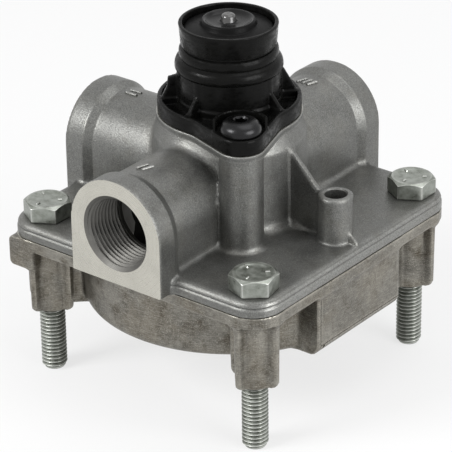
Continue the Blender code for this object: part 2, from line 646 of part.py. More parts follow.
def lower_cover(look):
    outline = rounded_square(FLANGE_HALF, FLANGE_CORNER_R)
    small = 0.4 * MM
    inner = rounded_square(FLANGE_HALF - small, FLANGE_CORNER_R - small)
    rim_low = COVER_HEIGHT - COVER_RIM
    rings = [[(x, y, z) for x, y in ring] for ring, z in
             ((inner, rim_low), (outline, rim_low + small), (outline, COVER_HEIGHT))]
    cover = lofted("lower_cover", rings)
    edge = arc((BOWL_R - BOWL_EDGE_R, BOWL_EDGE_R), BOWL_EDGE_R, 0, -90, 3)
    bowl_top = COVER_HEIGHT - 0.2 * MM
    bowl = turned("bowl", [(0.0, bowl_top), (BOWL_R, bowl_top)] + edge + [(0.0, 0.0)])
    additions = [bowl, corner_lug()]
    for name, (sx, sy) in CORNERS.items():
        additions += post_solids(name, sx, sy)
    additions.append(side_pad())
    boss_length = CONTROL_REACH - CAVITY_R
    boss = turned("control_boss", [(0.0, 0.0), (CONTROL_BOSS_R - small, 0.0), (CONTROL_BOSS_R, small),
                                   (CONTROL_BOSS_R, boss_length - 1.0 * MM),
                                   (0.0, boss_length - 1.0 * MM)], INNER_STEPS)
    level = Matrix.Rotation(math.radians(90), 4, "Y")
    place = Matrix.Translation((-CONTROL_REACH, 0.0, CONTROL_BOSS_R + 0.02 * MM))
    additions.append(turn_part(boss, place @ level))
    joined(cover, additions)

    cavity = turned("cavity", [(0.0, BOWL_FLOOR), (CAVITY_R - 1.0 * MM, BOWL_FLOOR),
                               (CAVITY_R, BOWL_FLOOR + 1.0 * MM),
                               (CAVITY_R, COVER_HEIGHT + OVERCUT),
                               (0.0, COVER_HEIGHT + OVERCUT)], ROUND_STEPS)
    half_groove = COVER_RING_SECTION_R + 0.3 * MM
    groove_low = COVER_HEIGHT - 2 * COVER_RING_SECTION_R - 0.1 * MM
    groove = turned("ring_groove", [(COVER_RING_R - half_groove, groove_low),
                                    (COVER_RING_R + half_groove, groove_low),
                                    (COVER_RING_R + half_groove, COVER_HEIGHT + OVERCUT),
                                    (COVER_RING_R - half_groove, COVER_HEIGHT + OVERCUT)], ROUND_STEPS)
    cutters = [cavity, groove]
    for name, (sx, sy) in CORNERS.items():
        low = POST_FOOT_Z - OVERCUT
        high = COVER_HEIGHT + OVERCUT
        hole = [(0.0, low), (BOLT_HOLE_R, low), (BOLT_HOLE_R, high), (0.0, high)]
        cutters.append(turned("post_hole_" + name, hole, HOLE_STEPS, (sx * BOLT_HALF, sy * BOLT_HALF)))
    cutters.append(threaded_bore("control_bore", CONTROL_BORE_R, CONTROL_MOUTH_R, CONTROL_BORE_DEPTH,
                                 CONTROL_REACH, CONTROL_BOSS_R, -90))
    start = CONTROL_BORE_DEPTH - OVERCUT
    end = CONTROL_REACH - CAVITY_R + 3.0 * MM
    outline = [(0.0, start), (CONTROL_DUCT_R, start), (CONTROL_DUCT_R, end), (0.0, end)]
    duct = turned("control_duct", outline, SMALL_STEPS)
    level = Matrix.Rotation(math.radians(90), 4, "Y")
    place = Matrix.Translation((-CONTROL_REACH, 0.0, CONTROL_BOSS_R - CONTROL_DUCT_DROP))
    cutters.append(turn_part(duct, place @ level))
    return finished(cut(cover, cutters), look)


# Flange bolts

def flange_bolt(name, sx, sy, turn, look):
    """Hexagon bolt with a chamfered head; its full thread is finer than this model."""
    low = FLANGE_TOP_Z + SEAT_GAP
    high = low + BOLT_HEAD_HEIGHT
    corner = BOLT_HEAD_FLATS / math.sqrt(3)
    hexagon = [(corner * math.cos(math.radians(60 * i + turn)),
                corner * math.sin(math.radians(60 * i + turn))) for i in range(6)]
    bolt = extruded("flange_bolt_" + name, hexagon, low, high)
    flat_r = BOLT_HEAD_FLATS / 2 * 0.95
    drop = (corner - flat_r) * 0.55
    chamfer = turned("chamfer", [(0.0, low - OVERCUT), (corner * 1.1, low - OVERCUT),
                                 (corner * 1.1, high - drop * 1.25), (flat_r, high),
                                 (0.0, high)], 36)
    combined(bolt, [chamfer], "INTERSECT")
    tip = low - BOLT_LENGTH
    shank = turned("shank", [(0.0, tip), (BOLT_R - BOLT_TIP_CHAMFER, tip),
                             (BOLT_R, tip + BOLT_TIP_CHAMFER), (BOLT_R, low + OVERCUT),
                             (0.0, low + OVERCUT)], SMALL_STEPS)
    joined(bolt, [shank])
    turn_part(bolt, Matrix.Translation((sx * BOLT_HALF, sy * BOLT_HALF, 0.0)))
    return finished(bolt, look)


# Exhaust snout

def snout_profile():
    """Outside of the turned part of the snout: spigot, tube, collar, ring and cap."""
    z = SNOUT_Z
    top = SNOUT_TOP_Z
    widest = z + SNOUT_COLLAR_Z
    ring_low = z + SNOUT_RING_LOW_Z
    ring_high = z + SNOUT_RING_HIGH_Z
    groove = z + SNOUT_GROOVE_Z
    groove_r = SNOUT_CAP_R - SNOUT_GROOVE_DEPTH
    collar = [(SNOUT_TUBE_R, widest - 1.3 * MM), (SNOUT_COLLAR_R - 0.1 * MM, widest - 1.0 * MM),
              (SNOUT_COLLAR_R, widest), (SNOUT_COLLAR_R - 0.5 * MM, widest + 1.8 * MM),
              (SNOUT_RING_R + 0.1 * MM, ring_low - 0.9 * MM)]
    ring = [(SNOUT_RING_R - 0.25 * MM, ring_low - 0.6 * MM), (SNOUT_RING_R, ring_low),
            (SNOUT_RING_R, ring_high), (SNOUT_RING_R - 0.3 * MM, ring_high + 0.8 * MM)]
    cap = [(groove_r, groove), (groove_r, groove + 0.4 * MM), (SNOUT_CAP_R, groove + 0.6 * MM),
           (SNOUT_RIM_R, top - 0.5 * MM), (SNOUT_RIM_R - 0.3 * MM, top), (0.0, top)]
    spigot_r = GUIDE_BORE_R - SEAT_GAP
    foot = [(0.0, z - SNOUT_SPIGOT), (spigot_r, z - SNOUT_SPIGOT), (spigot_r, z + 0.2 * MM),
            (SNOUT_TUBE_R, z + 0.2 * MM)]
    return foot + collar + ring + cap


def snout_bore():
    """Cutter for the snout's bore, which widens above the ledge that the flap rests on."""
    wide = SNOUT_RIM_R - SNOUT_RIM_WALL
    low = SNOUT_Z - SNOUT_SPIGOT - OVERCUT
    high = SNOUT_TOP_Z + OVERCUT
    edge = 0.3 * MM
    return turned("snout_bore", [(0.0, low), (SNOUT_BORE_R, low), (SNOUT_BORE_R, LEDGE_Z),
                                 (wide, LEDGE_Z), (wide, SNOUT_TOP_Z - edge),
                                 (wide + edge + OVERCUT, high), (0.0, high)], INNER_STEPS)


def snout_rib(name, degrees, outer, height, thickness):
    """Triangular rib that stands on the flange against the tube, out to a radius and up to a height."""
    inner = SNOUT_TUBE_R - 0.8 * MM
    low = SNOUT_FLANGE_TOP_Z - OVERCUT
    outline = [(inner, low), (outer, low), (outer, SNOUT_FLANGE_TOP_Z + 0.4 * MM),
               (inner + 0.9 * MM, height), (inner, height)]
    rib = extruded(name, outline, -thickness / 2, thickness / 2)
    upright = Matrix.Rotation(math.radians(90), 4, "X")
    return turn_part(rib, Matrix.Rotation(math.radians(degrees), 4, "Z") @ upright)


def snout_pockets():
    """Cutter for the flange's pockets: what lies inside its outer wall, less tube, bosses and ribs."""
    low = SNOUT_Z + SNOUT_POCKET_FLOOR
    high = SNOUT_FLANGE_TOP_Z + OVERCUT
    pockets = extruded("snout_pockets", rhombus(-SNOUT_POCKET_WALL), low, high)
    under = low - OVERCUT
    over = high + OVERCUT
    tube_r = SNOUT_TUBE_R + SNOUT_RIB_MARGIN
    kept = [turned("kept_tube", [(0.0, under), (tube_r, under), (tube_r, over), (0.0, over)])]
    for name, sign in SCREW_SIDES.items():
        boss = [(0.0, under), (SNOUT_BOSS_R, under), (SNOUT_BOSS_R, over), (0.0, over)]
        kept.append(turned("kept_boss_" + name, boss, INNER_STEPS, DIAGONAL * (sign * COLUMN_SPREAD)))
    reach = SNOUT_FLANGE_R + OVERCUT
    for degrees in SNOUT_RIB_TURNS + (45,):
        half = (SNOUT_GUSSET_THICKNESS if degrees == 45 else SNOUT_RIB_THICKNESS) / 2 + SNOUT_RIB_MARGIN / 2
        strip = box(f"kept_rib_{degrees}", (-reach, -half, under), (reach, half, over))
        kept.append(turn_part(strip, Matrix.Rotation(math.radians(degrees), 4, "Z")))
    return cut(pockets, kept)


def screw_wall(name, sign):
    """Thin curved wall that shields a screw head, open towards the outside."""
    outline = arc((0.0, 0.0), SCREW_WALL_R, 100, 260, 8)
    outline += arc((0.0, 0.0), SCREW_WALL_R - SCREW_WALL, 260, 100, 8)
    wall = extruded(name, outline, SNOUT_FLANGE_TOP_Z - OVERCUT, SNOUT_FLANGE_TOP_Z + SCREW_WALL_HEIGHT)
    turn = Matrix.Rotation(math.radians(-45 if sign > 0 else 135), 4, "Z")
    return turn_part(wall, turn @ Matrix.Translation((COLUMN_SPREAD, 0.0, 0.0)))


def exhaust_snout(look):
    snout = turned("exhaust_snout", snout_profile())
    edge = SNOUT_FLANGE_EDGE
    rings = [[(x, y, z) for x, y in rhombus(grow)] for grow, z in
             ((0.0, SNOUT_Z), (0.0, SNOUT_FLANGE_TOP_Z - edge), (-edge, SNOUT_FLANGE_TOP_Z))]
    additions = [lofted("snout_flange", rings)]
    gusset_top = SNOUT_Z + SNOUT_COLLAR_Z - SNOUT_GUSSET_DROP
    rib_top = SNOUT_FLANGE_TOP_Z + SNOUT_RIB_HEIGHT
    gusset_r = SNOUT_FLANGE_R - 0.9 * MM
    rib_r = SNOUT_FLANGE_R - SNOUT_POCKET_WALL
    for name, sign in SCREW_SIDES.items():
        additions.append(screw_wall("wall_" + name, sign))
    for half_turn in (0, 180):
        additions.append(snout_rib(f"gusset_{half_turn}", half_turn + 45, gusset_r, gusset_top,
                                   SNOUT_GUSSET_THICKNESS))
        for turn in SNOUT_RIB_TURNS:
            additions.append(snout_rib(f"rib_{turn + half_turn}", turn + half_turn, rib_r, rib_top,
                                       SNOUT_RIB_THICKNESS))
    joined(snout, additions)

    half = SNOUT_RING_SECTION_R + 0.3 * MM
    high = SNOUT_Z + 2 * SNOUT_RING_SECTION_R + 0.1 * MM
    groove = turned("seal_groove", [(SNOUT_RING_MEAN_R - half, SNOUT_Z - OVERCUT),
                                    (SNOUT_RING_MEAN_R + half, SNOUT_Z - OVERCUT),
                                    (SNOUT_RING_MEAN_R + half, high), (SNOUT_RING_MEAN_R - half, high)],
                    INNER_STEPS)
    cutters = [snout_bore(), groove, snout_pockets()]
    for name, sign in SCREW_SIDES.items():
        hole = [(0.0, SNOUT_Z - OVERCUT), (SCREW_HOLE_R, SNOUT_Z - OVERCUT),
                (SCREW_HOLE_R, SNOUT_FLANGE_TOP_Z + OVERCUT),
                (0.0, SNOUT_FLANGE_TOP_Z + OVERCUT)]
        centre = DIAGONAL * (sign * COLUMN_SPREAD)
        cutters.append(turned("snout_hole_" + name, hole, HOLE_STEPS, centre))
    cut(snout, cutters)

    spider_top = LEDGE_Z - SPIDER_DROP
    spider_low = spider_top - SPIDER_HEIGHT
    hole_r = FLAP_STEM_R + 0.3 * MM
    hub = turned("hub", [(hole_r, spider_low), (SPIDER_HUB_R, spider_low), (SPIDER_HUB_R, spider_top),
                         (hole_r, spider_top)], SMALL_STEPS)
    arms = []
    for i in range(SPIDER_ARMS):
        arm = box(f"arm_{i}", (SPIDER_HUB_R - 0.7 * MM, -SPIDER_ARM / 2, spider_low + 0.1 * MM),
                  (SNOUT_BORE_R + 0.4 * MM, SPIDER_ARM / 2, spider_top - 0.1 * MM))
        arms.append(turn_part(arm, Matrix.Rotation(math.tau * (i + 0.5) / SPIDER_ARMS, 4, "Z")))
    joined(snout, [hub] + arms)
    return finished(snout, look)


def snout_screw(name, sign, look):
    """Pan-head screw with a six-lobed recess."""
    low = SNOUT_FLANGE_TOP_Z + SEAT_GAP
    high = low + SCREW_HEAD_HEIGHT
    head_r = SCREW_HEAD_R
    crown = [(head_r - 0.25 * MM, low), (head_r, low + 0.3 * MM), (head_r, low + SCREW_HEAD_HEIGHT * 0.45)]
    crown += [(head_r - 1.6 * MM * (1 - math.cos(math.radians(a))),
               low + SCREW_HEAD_HEIGHT * (0.45 + 0.5 * math.sin(math.radians(a))))
              for a in (30, 60, 90)]
    profile = [(0.0, low - SCREW_LENGTH), (SCREW_R - 0.5 * MM, low - SCREW_LENGTH),
               (SCREW_R, low - SCREW_LENGTH + 0.5 * MM),
               (SCREW_R, low)] + crown + [(0.0, high)]
    screw = turned("snout_screw_" + name, profile, SMALL_STEPS)
    lobes = []
    for i in range(12):
        a = math.tau * i / 12
        radius = SCREW_RECESS_R * (0.88 + 0.12 * math.cos(6 * a))
        lobes.append((radius * math.cos(a), radius * math.sin(a)))
    cut(screw, [extruded("recess", lobes, high - SCREW_RECESS_DEPTH, high + OVERCUT)])
    turn_part(screw, Matrix.Translation(DIAGONAL * (sign * COLUMN_SPREAD)))
    return finished(screw, look)


def exhaust_flap(look):
    """Rubber flap: a cone up to a bead, a dished middle, and a stem buttoned into the hub."""
    rest = LEDGE_Z + SEAT_GAP
    outer = SNOUT_RIM_R - SNOUT_RIM_WALL - SEAT_GAP
    spider_low = LEDGE_Z - SPIDER_DROP - SPIDER_HEIGHT
    barb = spider_low - SEAT_GAP
    hub_top = LEDGE_Z - SPIDER_DROP + SEAT_GAP
    t = FLAP_THICKNESS
    bead = FLAP_BEAD_R
    head = rest + t
    foot = head + FLAP_CONE_RISE
    crest = foot + FLAP_BEAD_HEIGHT
    inside = bead - FLAP_BEAD_WIDTH
    knob_top = head + FLAP_KNOB_HEIGHT
    profile = [(0.0, barb - FLAP_BARB_LENGTH), (FLAP_STEM_R, barb - FLAP_BARB_LENGTH * 0.8),
               (FLAP_KNOB_R, barb - FLAP_BARB_LENGTH * 0.4), (FLAP_KNOB_R, barb), (FLAP_STEM_R, barb),
               (FLAP_STEM_R, hub_top), (FLAP_SHOULDER_R, hub_top), (inside, rest), (outer, rest),
               (outer, head), (bead + 0.4 * MM, foot), (bead, foot + FLAP_BEAD_HEIGHT * 0.3),
               (bead - 0.1 * MM, crest - 0.2 * MM), (bead - 0.4 * MM, crest),
               (inside + 0.4 * MM, crest - 0.2 * MM), (inside, foot), (FLAP_KNOB_R + 0.5 * MM, foot),
               (FLAP_KNOB_R, foot + 0.5 * MM), (FLAP_KNOB_R, knob_top - 0.7 * MM),
               (FLAP_KNOB_R * 0.6, knob_top), (0.0, knob_top)]
    return finished(turned("exhaust_flap", profile, INNER_STEPS), look, 50.0)


# Relay piston

def relay_piston(look):
    """Piston with seal groove, a hub that rests on the bowl's floor and a tube that lifts the valve."""
    top = PISTON_TOP_Z
    under = top - PISTON_CROWN
    skirt = top - PISTON_SKIRT
    foot = BOWL_FLOOR + SEAT_GAP
    tip = RUBBER_Z - EXHAUST_GAP
    groove_r = PISTON_R - PISTON_GROOVE_DEPTH
    groove_half = PISTON_RING_SECTION_R + 0.25 * MM
    groove_z = top - PISTON_CROWN / 2 - 1.2 * MM
    inner = PISTON_R - PISTON_SKIRT_WALL
    profile = [(0.0, foot), (PISTON_HUB_R, foot), (PISTON_HUB_R, under), (inner - 0.6 * MM, under),
               (inner, skirt), (PISTON_R, skirt),
               (PISTON_R, groove_z - groove_half), (groove_r, groove_z - groove_half),
               (groove_r, groove_z + groove_half),
               (PISTON_R, groove_z + groove_half), (PISTON_R, top), (PISTON_TUBE_R + 3.2 * MM, top),
               (PISTON_TUBE_R, top + 3.6 * MM),
               (PISTON_TUBE_R, tip - 0.8 * MM), (PISTON_TUBE_R - 0.5 * MM, tip),
               (PISTON_TUBE_BORE_R + 0.4 * MM, tip),
               (PISTON_TUBE_BORE_R, tip - 0.6 * MM), (PISTON_TUBE_BORE_R, top), (0.0, top - 0.5 * MM)]
    return finished(turned("relay_piston", profile), look)


def piston_ring(look):
    groove_z = PISTON_TOP_Z - PISTON_CROWN / 2 - 1.2 * MM
    mean = PISTON_R - PISTON_GROOVE_DEPTH + 0.2 * MM + PISTON_RING_SECTION_R
    return ring_seal("piston_o_ring", mean, PISTON_RING_SECTION_R, groove_z, look, ROUND_STEPS)


# Inlet valve and its guide

def inlet_valve(look):
    """Hollow stem with a disc that backs the rubber."""
    top = PARTING_Z + STEM_TOP_Z
    profile = [(STEM_BORE_R, DISC_Z), (VALVE_DISC_R, DISC_Z),
               (VALVE_DISC_R, DISC_Z + VALVE_DISC - 0.4 * MM),
               (VALVE_DISC_R - 0.4 * MM, DISC_Z + VALVE_DISC), (STEM_R + 0.8 * MM, DISC_Z + VALVE_DISC),
               (STEM_R, DISC_Z + VALVE_DISC + 0.8 * MM),
               (STEM_R, top - 0.5 * MM), (STEM_R - 0.5 * MM, top), (STEM_BORE_R, top)]
    return finished(turned("inlet_valve", profile, INNER_STEPS), look)


def valve_rubber(look):
    """Rubber ring that seals on the body's seat outside and on the piston's tube inside."""
    inner = STEM_BORE_R + 0.1 * MM
    profile = [(inner, RUBBER_Z), (VALVE_DISC_R, RUBBER_Z), (VALVE_DISC_R, RUBBER_Z + RUBBER_THICKNESS),
               (inner, RUBBER_Z + RUBBER_THICKNESS)]
    return finished(turned("valve_rubber", profile, INNER_STEPS), look)


def valve_guide(look):
    """Ring that guides the stem, with a seal groove outside and one inside."""
    low, high = GUIDE_Z, GUIDE_Z + GUIDE_HEIGHT
    bore = STEM_R + SEAT_GAP
    middle = (low + high) / 2
    outer_half = GUIDE_RING_SECTION_R + 0.25 * MM
    inner_half = STEM_RING_SECTION_R + 0.25 * MM
    outer_groove = GUIDE_R - GUIDE_GROOVE_DEPTH
    inner_groove = bore + 2 * STEM_RING_SECTION_R + 0.3 * MM
    profile = [(bore, low), (GUIDE_R, low), (GUIDE_R, middle - outer_half),
               (outer_groove, middle - outer_half),
               (outer_groove, middle + outer_half), (GUIDE_R, middle + outer_half), (GUIDE_R, high),
               (bore, high),
               (bore, middle + inner_half), (inner_groove, middle + inner_half),
               (inner_groove, middle - inner_half),
               (bore, middle - inner_half)]
    return finished(turned("valve_guide", profile, INNER_STEPS), look)


def retaining_ring(look):
    """Open snap ring with an eye at each end, in the groove over the guide."""
    outer = GUIDE_BORE_R + RETAINER_BITE
    inner = outer - RETAINER_WIDTH
    half_gap = 22
    outline = arc((0.0, 0.0), outer, half_gap, 360 - half_gap, 28)
    lug = inner - 1.6 * MM
    outline += arc((0.0, 0.0), lug, 360 - half_gap, 360 - half_gap - 14, 2)
    outline += arc((0.0, 0.0), inner, 360 - half_gap - 18, half_gap + 18, 24)
    outline += arc((0.0, 0.0), lug, half_gap + 14, half_gap, 2)
    ring = extruded("retaining_ring", outline, RETAINER_Z, RETAINER_Z + RETAINER_THICKNESS)
    return finished(ring, look)


def valve_spring(look):
    """Coil spring that presses the inlet valve on its seat."""
    low = DISC_Z + VALVE_DISC + SEAT_GAP + SPRING_WIRE_R
    high = GUIDE_Z - SEAT_GAP - SPRING_WIRE_R
    per_turn = 14
    steps = int(SPRING_TURNS * per_turn)
    curve = bpy.data.curves.new("valve_spring", "CURVE")
    curve.dimensions = "3D"
    curve.bevel_depth = SPRING_WIRE_R
    curve.bevel_resolution = 1
    curve.use_fill_caps = True
    path = curve.splines.new("POLY")
    path.points.add(steps)
    for i, point in enumerate(path.points):
        angle = math.tau * i / per_turn
        rise = low + (high - low) * i / steps
        point.co = (SPRING_R * math.cos(angle), SPRING_R * math.sin(angle), rise, 1.0)
    spring = bpy.data.objects.new("valve_spring", curve)
    bpy.context.scene.collection.objects.link(spring)
    curve.materials.append(look)
    return spring


def on_joint(name, pieces):
    """Parent the pieces that move together to an empty on the valve's axis."""
    carrier = bpy.data.objects.new(name, None)
    bpy.context.scene.collection.objects.link(carrier)
    for piece in pieces:
        piece.parent = carrier
    return carrier


clear_scene()

CAST = material("cast_aluminium", (0.40, 0.41, 0.41), 0.48, 0.85)
COVER_CAST = material("cover_aluminium", (0.37, 0.36, 0.34), 0.52, 0.85)
ZINC = material("zinc_plate", (0.56, 0.57, 0.55), 0.34, 1.0)
PLASTIC = material("black_plastic", (0.03, 0.03, 0.03), 0.4, 0.0)
BLACK_STEEL = material("black_steel", (0.05, 0.05, 0.05), 0.25, 0.8)
RUBBER = material("black_rubber", (0.035, 0.035, 0.038), 0.6, 0.0)
TURNED = material("turned_aluminium", (0.60, 0.61, 0.62), 0.35, 1.0)
BRASS = material("valve_brass", (0.70, 0.55, 0.28), 0.35, 1.0)
GUIDE_PLASTIC = material("guide_plastic", (0.62, 0.60, 0.55), 0.5, 0.0)
SPRING_STEEL = material("spring_steel", (0.42, 0.43, 0.45), 0.3, 1.0)

valve_body(CAST)
lower_cover(COVER_CAST)
for corner_name, (side_x, side_y) in CORNERS.items():
    flange_bolt(corner_name, side_x, side_y, HEAD_TURNS[corner_name], ZINC)
exhaust_snout(PLASTIC)
for screw_name, screw_side in SCREW_SIDES.items():
    snout_screw(screw_name, screw_side, BLACK_STEEL)
exhaust_flap(RUBBER)
ring_seal("snout_o_ring", SNOUT_RING_MEAN_R, SNOUT_RING_SECTION_R, SNOUT_Z + SNOUT_RING_SECTION_R, RUBBER)
ring_seal("cover_o_ring", COVER_RING_R, COVER_RING_SECTION_R, COVER_HEIGHT - COVER_RING_SECTION_R,
          RUBBER, ROUND_STEPS)
valve_guide(GUIDE_PLASTIC)
GUIDE_MIDDLE_Z = GUIDE_Z + GUIDE_HEIGHT / 2
ring_seal("guide_o_ring", GUIDE_R - GUIDE_GROOVE_DEPTH + 0.2 * MM + GUIDE_RING_SECTION_R,
          GUIDE_RING_SECTION_R, GUIDE_MIDDLE_Z, RUBBER)
ring_seal("stem_o_ring", STEM_R + SEAT_GAP + STEM_RING_SECTION_R, STEM_RING_SECTION_R, GUIDE_MIDDLE_Z,
          RUBBER)
retaining_ring(SPRING_STEEL)
on_joint("piston_carrier", [relay_piston(TURNED), piston_ring(RUBBER)])
on_joint("valve_carrier", [inlet_valve(BRASS), valve_rubber(RUBBER)])
valve_spring(SPRING_STEEL)
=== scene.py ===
"""Pneumatic relay valve: two aluminium castings, four flange bolts and a black exhaust snout, as bought new.

Lengths are millimetres, except in the studio, with the origin at the middle of the lower cover's underside
and Z up. MM turns them into Blender's metres.
"""
import math

import bmesh
import bpy
import numpy as np
from mathutils import Matrix, Vector


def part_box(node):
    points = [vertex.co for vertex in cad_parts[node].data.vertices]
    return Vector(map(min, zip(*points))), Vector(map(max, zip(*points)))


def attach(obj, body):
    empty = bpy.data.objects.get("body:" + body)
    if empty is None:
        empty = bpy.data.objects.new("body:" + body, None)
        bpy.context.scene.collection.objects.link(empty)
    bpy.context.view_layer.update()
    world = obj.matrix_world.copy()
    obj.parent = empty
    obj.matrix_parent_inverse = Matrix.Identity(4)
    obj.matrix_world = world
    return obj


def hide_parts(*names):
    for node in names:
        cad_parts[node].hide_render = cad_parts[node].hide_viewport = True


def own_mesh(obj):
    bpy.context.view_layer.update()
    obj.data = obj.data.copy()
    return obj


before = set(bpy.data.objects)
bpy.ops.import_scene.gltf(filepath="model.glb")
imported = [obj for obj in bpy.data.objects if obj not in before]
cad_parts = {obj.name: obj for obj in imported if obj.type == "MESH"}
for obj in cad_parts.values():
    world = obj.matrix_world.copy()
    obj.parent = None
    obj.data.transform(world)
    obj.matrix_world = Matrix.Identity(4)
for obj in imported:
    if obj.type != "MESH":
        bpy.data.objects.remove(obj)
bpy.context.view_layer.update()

MM = 0.001


# Valve body: a pressure die casting in aluminium, blasted after casting, with the ports, the bores and the
# joint face machined afterwards. Its outside is one surface, found as the zero of a distance field in which
# every wall runs into the next with a fillet. The machined places are cut out of it.

PARTING = 23.2
FLANGE_HALF = 48.5
FLANGE_CORNER = 9.4
FLANGE_THICK = 5.0
FLANGE_TOP = PARTING + FLANGE_THICK
BOLT_PLACE = 39.15
BOLT_HOLE_R = 4.3
AXIS_UP = 16.2
PORT_AXIS = PARTING + AXIS_UP
PORT_FACE = 53.6
SUPPLY_FACE = 51.3
PORT_R = 15.2
RIM_R = 16.7
RIM_BACK = 6.7
RIM_TAPER = 2.9
NECK_TOP = PARTING + 36.5
LIP_FOOT = 36.1
LOBE_PLACE = 27.8
DIAGONAL = math.sqrt(0.5)
LOBE_XY = LOBE_PLACE * DIAGONAL
SCREW_HOLE_R = 2.8
BODY_STEP = 0.68


def blended(a, b, reach):
    """Smaller of two distances, less a quarter of reach times the square of how nearly they agree."""
    near = np.maximum(reach - np.abs(a - b), 0.0) / reach
    return np.minimum(a, b) - near * near * reach * 0.25


def eased(a, b, reach):
    """Larger of two distances, rounded over where they agree: the same blend with both signs turned."""
    return -blended(-a, -b, reach)


def box_2d(across, along, half_across, half_along, corner):
    """Distance to a rectangle with round corners: length of the outer part plus the inner, less corner."""
    u = np.abs(across) - (half_across - corner)
    v = np.abs(along) - (half_along - corner)
    return np.hypot(np.maximum(u, 0.0), np.maximum(v, 0.0)) + np.minimum(np.maximum(u, v), 0.0) - corner


def lobed_2d(x, y, middle_r, lobe_r):
    """Distance to two lobes joined to a middle circle by tangents, folded into one quarter by symmetry."""
    along = np.abs(x - y) * DIAGONAL
    across = np.abs(x + y) * DIAGONAL
    lean = (middle_r - lobe_r) / LOBE_PLACE
    level = math.sqrt(1.0 - lean * lean)
    side = along * level - across * lean
    flank = across * level + along * lean - middle_r
    middle = np.hypot(across, along) - middle_r
    lobe = np.hypot(across, along - LOBE_PLACE) - lobe_r
    return np.where(side < 0.0, middle, np.where(side > level * LOBE_PLACE, lobe, flank))


def pad_outline(x, y, grow):
    """Distance to the outline that the neck's pad and the snout's flange share, grown by a margin: a round
    middle blended into two tapered lobes, with a shallow hollow where they meet.
    """
    return blended(np.hypot(x, y) - 21.5 - grow, lobed_2d(x, y, 19.5 + grow, 6.8 + grow), 1.2)


def mesh_piece(name, points, faces):
    """Scene object from an array of points in millimetres and lists of faces."""
    mesh = bpy.data.meshes.new(name)
    mesh.from_pydata((np.asarray(points) * MM).tolist(), [], faces)
    mesh.validate()
    piece = bpy.data.objects.new(name, mesh)
    bpy.context.scene.collection.objects.link(piece)
    return piece


def skinned(name, field, xs, ys, zs):
    """Surface where a sampled field is zero: one point in each cell that it crosses, at the mean of its
    places on the cell's edges, each found by linear interpolation, and one quad round each edge that it crosses.
    """
    field = np.broadcast_to(field, (len(xs), len(ys), len(zs))).astype(np.float32)
    inside = field < 0.0
    full = inside.astype(np.uint8)
    corners = [(i, j, k) for i in (0, 1) for j in (0, 1) for k in (0, 1)]
    count = sum(full[i:len(xs) - 1 + i, j:len(ys) - 1 + j, k:len(zs) - 1 + k] for i, j, k in corners)
    ci, cj, ck = np.nonzero((count > 0) & (count < 8))
    number = np.full(count.shape, -1, np.int32)
    number[ci, cj, ck] = np.arange(len(ci))
    total = np.zeros((len(ci), 3))
    crossed = np.zeros(len(ci))
    for start in corners:
        for axis in range(3):
            if start[axis]:
                continue
            here = (ci + start[0], cj + start[1], ck + start[2])
            there = tuple(here[a] + (a == axis) for a in range(3))
            first, last = field[here], field[there]
            cuts = (first < 0.0) != (last < 0.0)
            share = np.where(cuts, first / np.where(cuts, first - last, 1.0), 0.0)
            place = np.stack([line[one] + share * (line[other] - line[one])
                              for line, one, other in zip((xs, ys, zs), here, there)], axis=1)
            total += place * cuts[:, None]
            crossed += cuts
    points = total / crossed[:, None]
    quads = []
    for axis in range(3):
        low = [slice(0, -1) if a == axis else slice(1, -1) for a in range(3)]
        high = [slice(1, None) if a == axis else slice(1, -1) for a in range(3)]
        first, last = inside[tuple(low)], inside[tuple(high)]
        ei, ej, ek = np.nonzero(first != last)
        outward = first[ei, ej, ek]
        at = [ei + (axis != 0), ej + (axis != 1), ek + (axis != 2)]
        u, v = (axis + 1) % 3, (axis + 2) % 3
        ring = []
        for du, dv in ((-1, -1), (0, -1), (0, 0), (-1, 0)):
            cell = [at[a] + (du if a == u else 0) + (dv if a == v else 0) for a in range(3)]
            ring.append(number[cell[0], cell[1], cell[2]])
        quad = np.stack(ring, axis=1)
        quad[~outward] = quad[~outward][:, ::-1]
        quads.append(quad)
    return mesh_piece(name, points, np.concatenate(quads).tolist())


def around(steps):
    """Angles of one turn in equal steps, as a row."""
    return np.linspace(0.0, math.tau, steps, endpoint=False)[None, :]


def turned(name, profile, steps=96, place=Matrix.Identity(4), rise=0.0):
    """Solid of revolution: each profile point (radius, height plus rise) becomes a ring, one on the axis a
    pole, and neighbouring rings are joined. A profile that starts off the axis closes on itself.
    """
    profile = np.asarray(profile, float) + (0.0, rise)
    angle = around(steps)[0]
    ring = np.stack([np.cos(angle), np.sin(angle)], axis=1)
    poles = profile[:, 0] <= 0.0
    starts = np.concatenate([[0], np.cumsum(np.where(poles, 1, steps))[:-1]])
    points = np.concatenate([[[0.0, 0.0, h]] if r <= 0.0 else np.column_stack([ring * r, np.full(steps, h)])
                             for r, h in profile])
    here = np.arange(steps)
    after = (here + 1) % steps
    faces = []
    for a in range(len(profile)):
        b = (a + 1) % len(profile)
        corners = [starts[a] + 0 * here] if poles[a] else [starts[a] + here, starts[a] + after]
        corners += [starts[b] + 0 * here] if poles[b] else [starts[b] + after, starts[b] + here]
        if len(corners) > 2:
            faces += np.stack(corners, axis=1).tolist()
    return placed(name, points, faces, place)


def drilled(name, radius, low, high, steps, place):
    """Plain round hole, as the cylinder that is cut out."""
    return turned(name, [(0, low), (radius, low), (radius, high), (0, high)], steps, place)


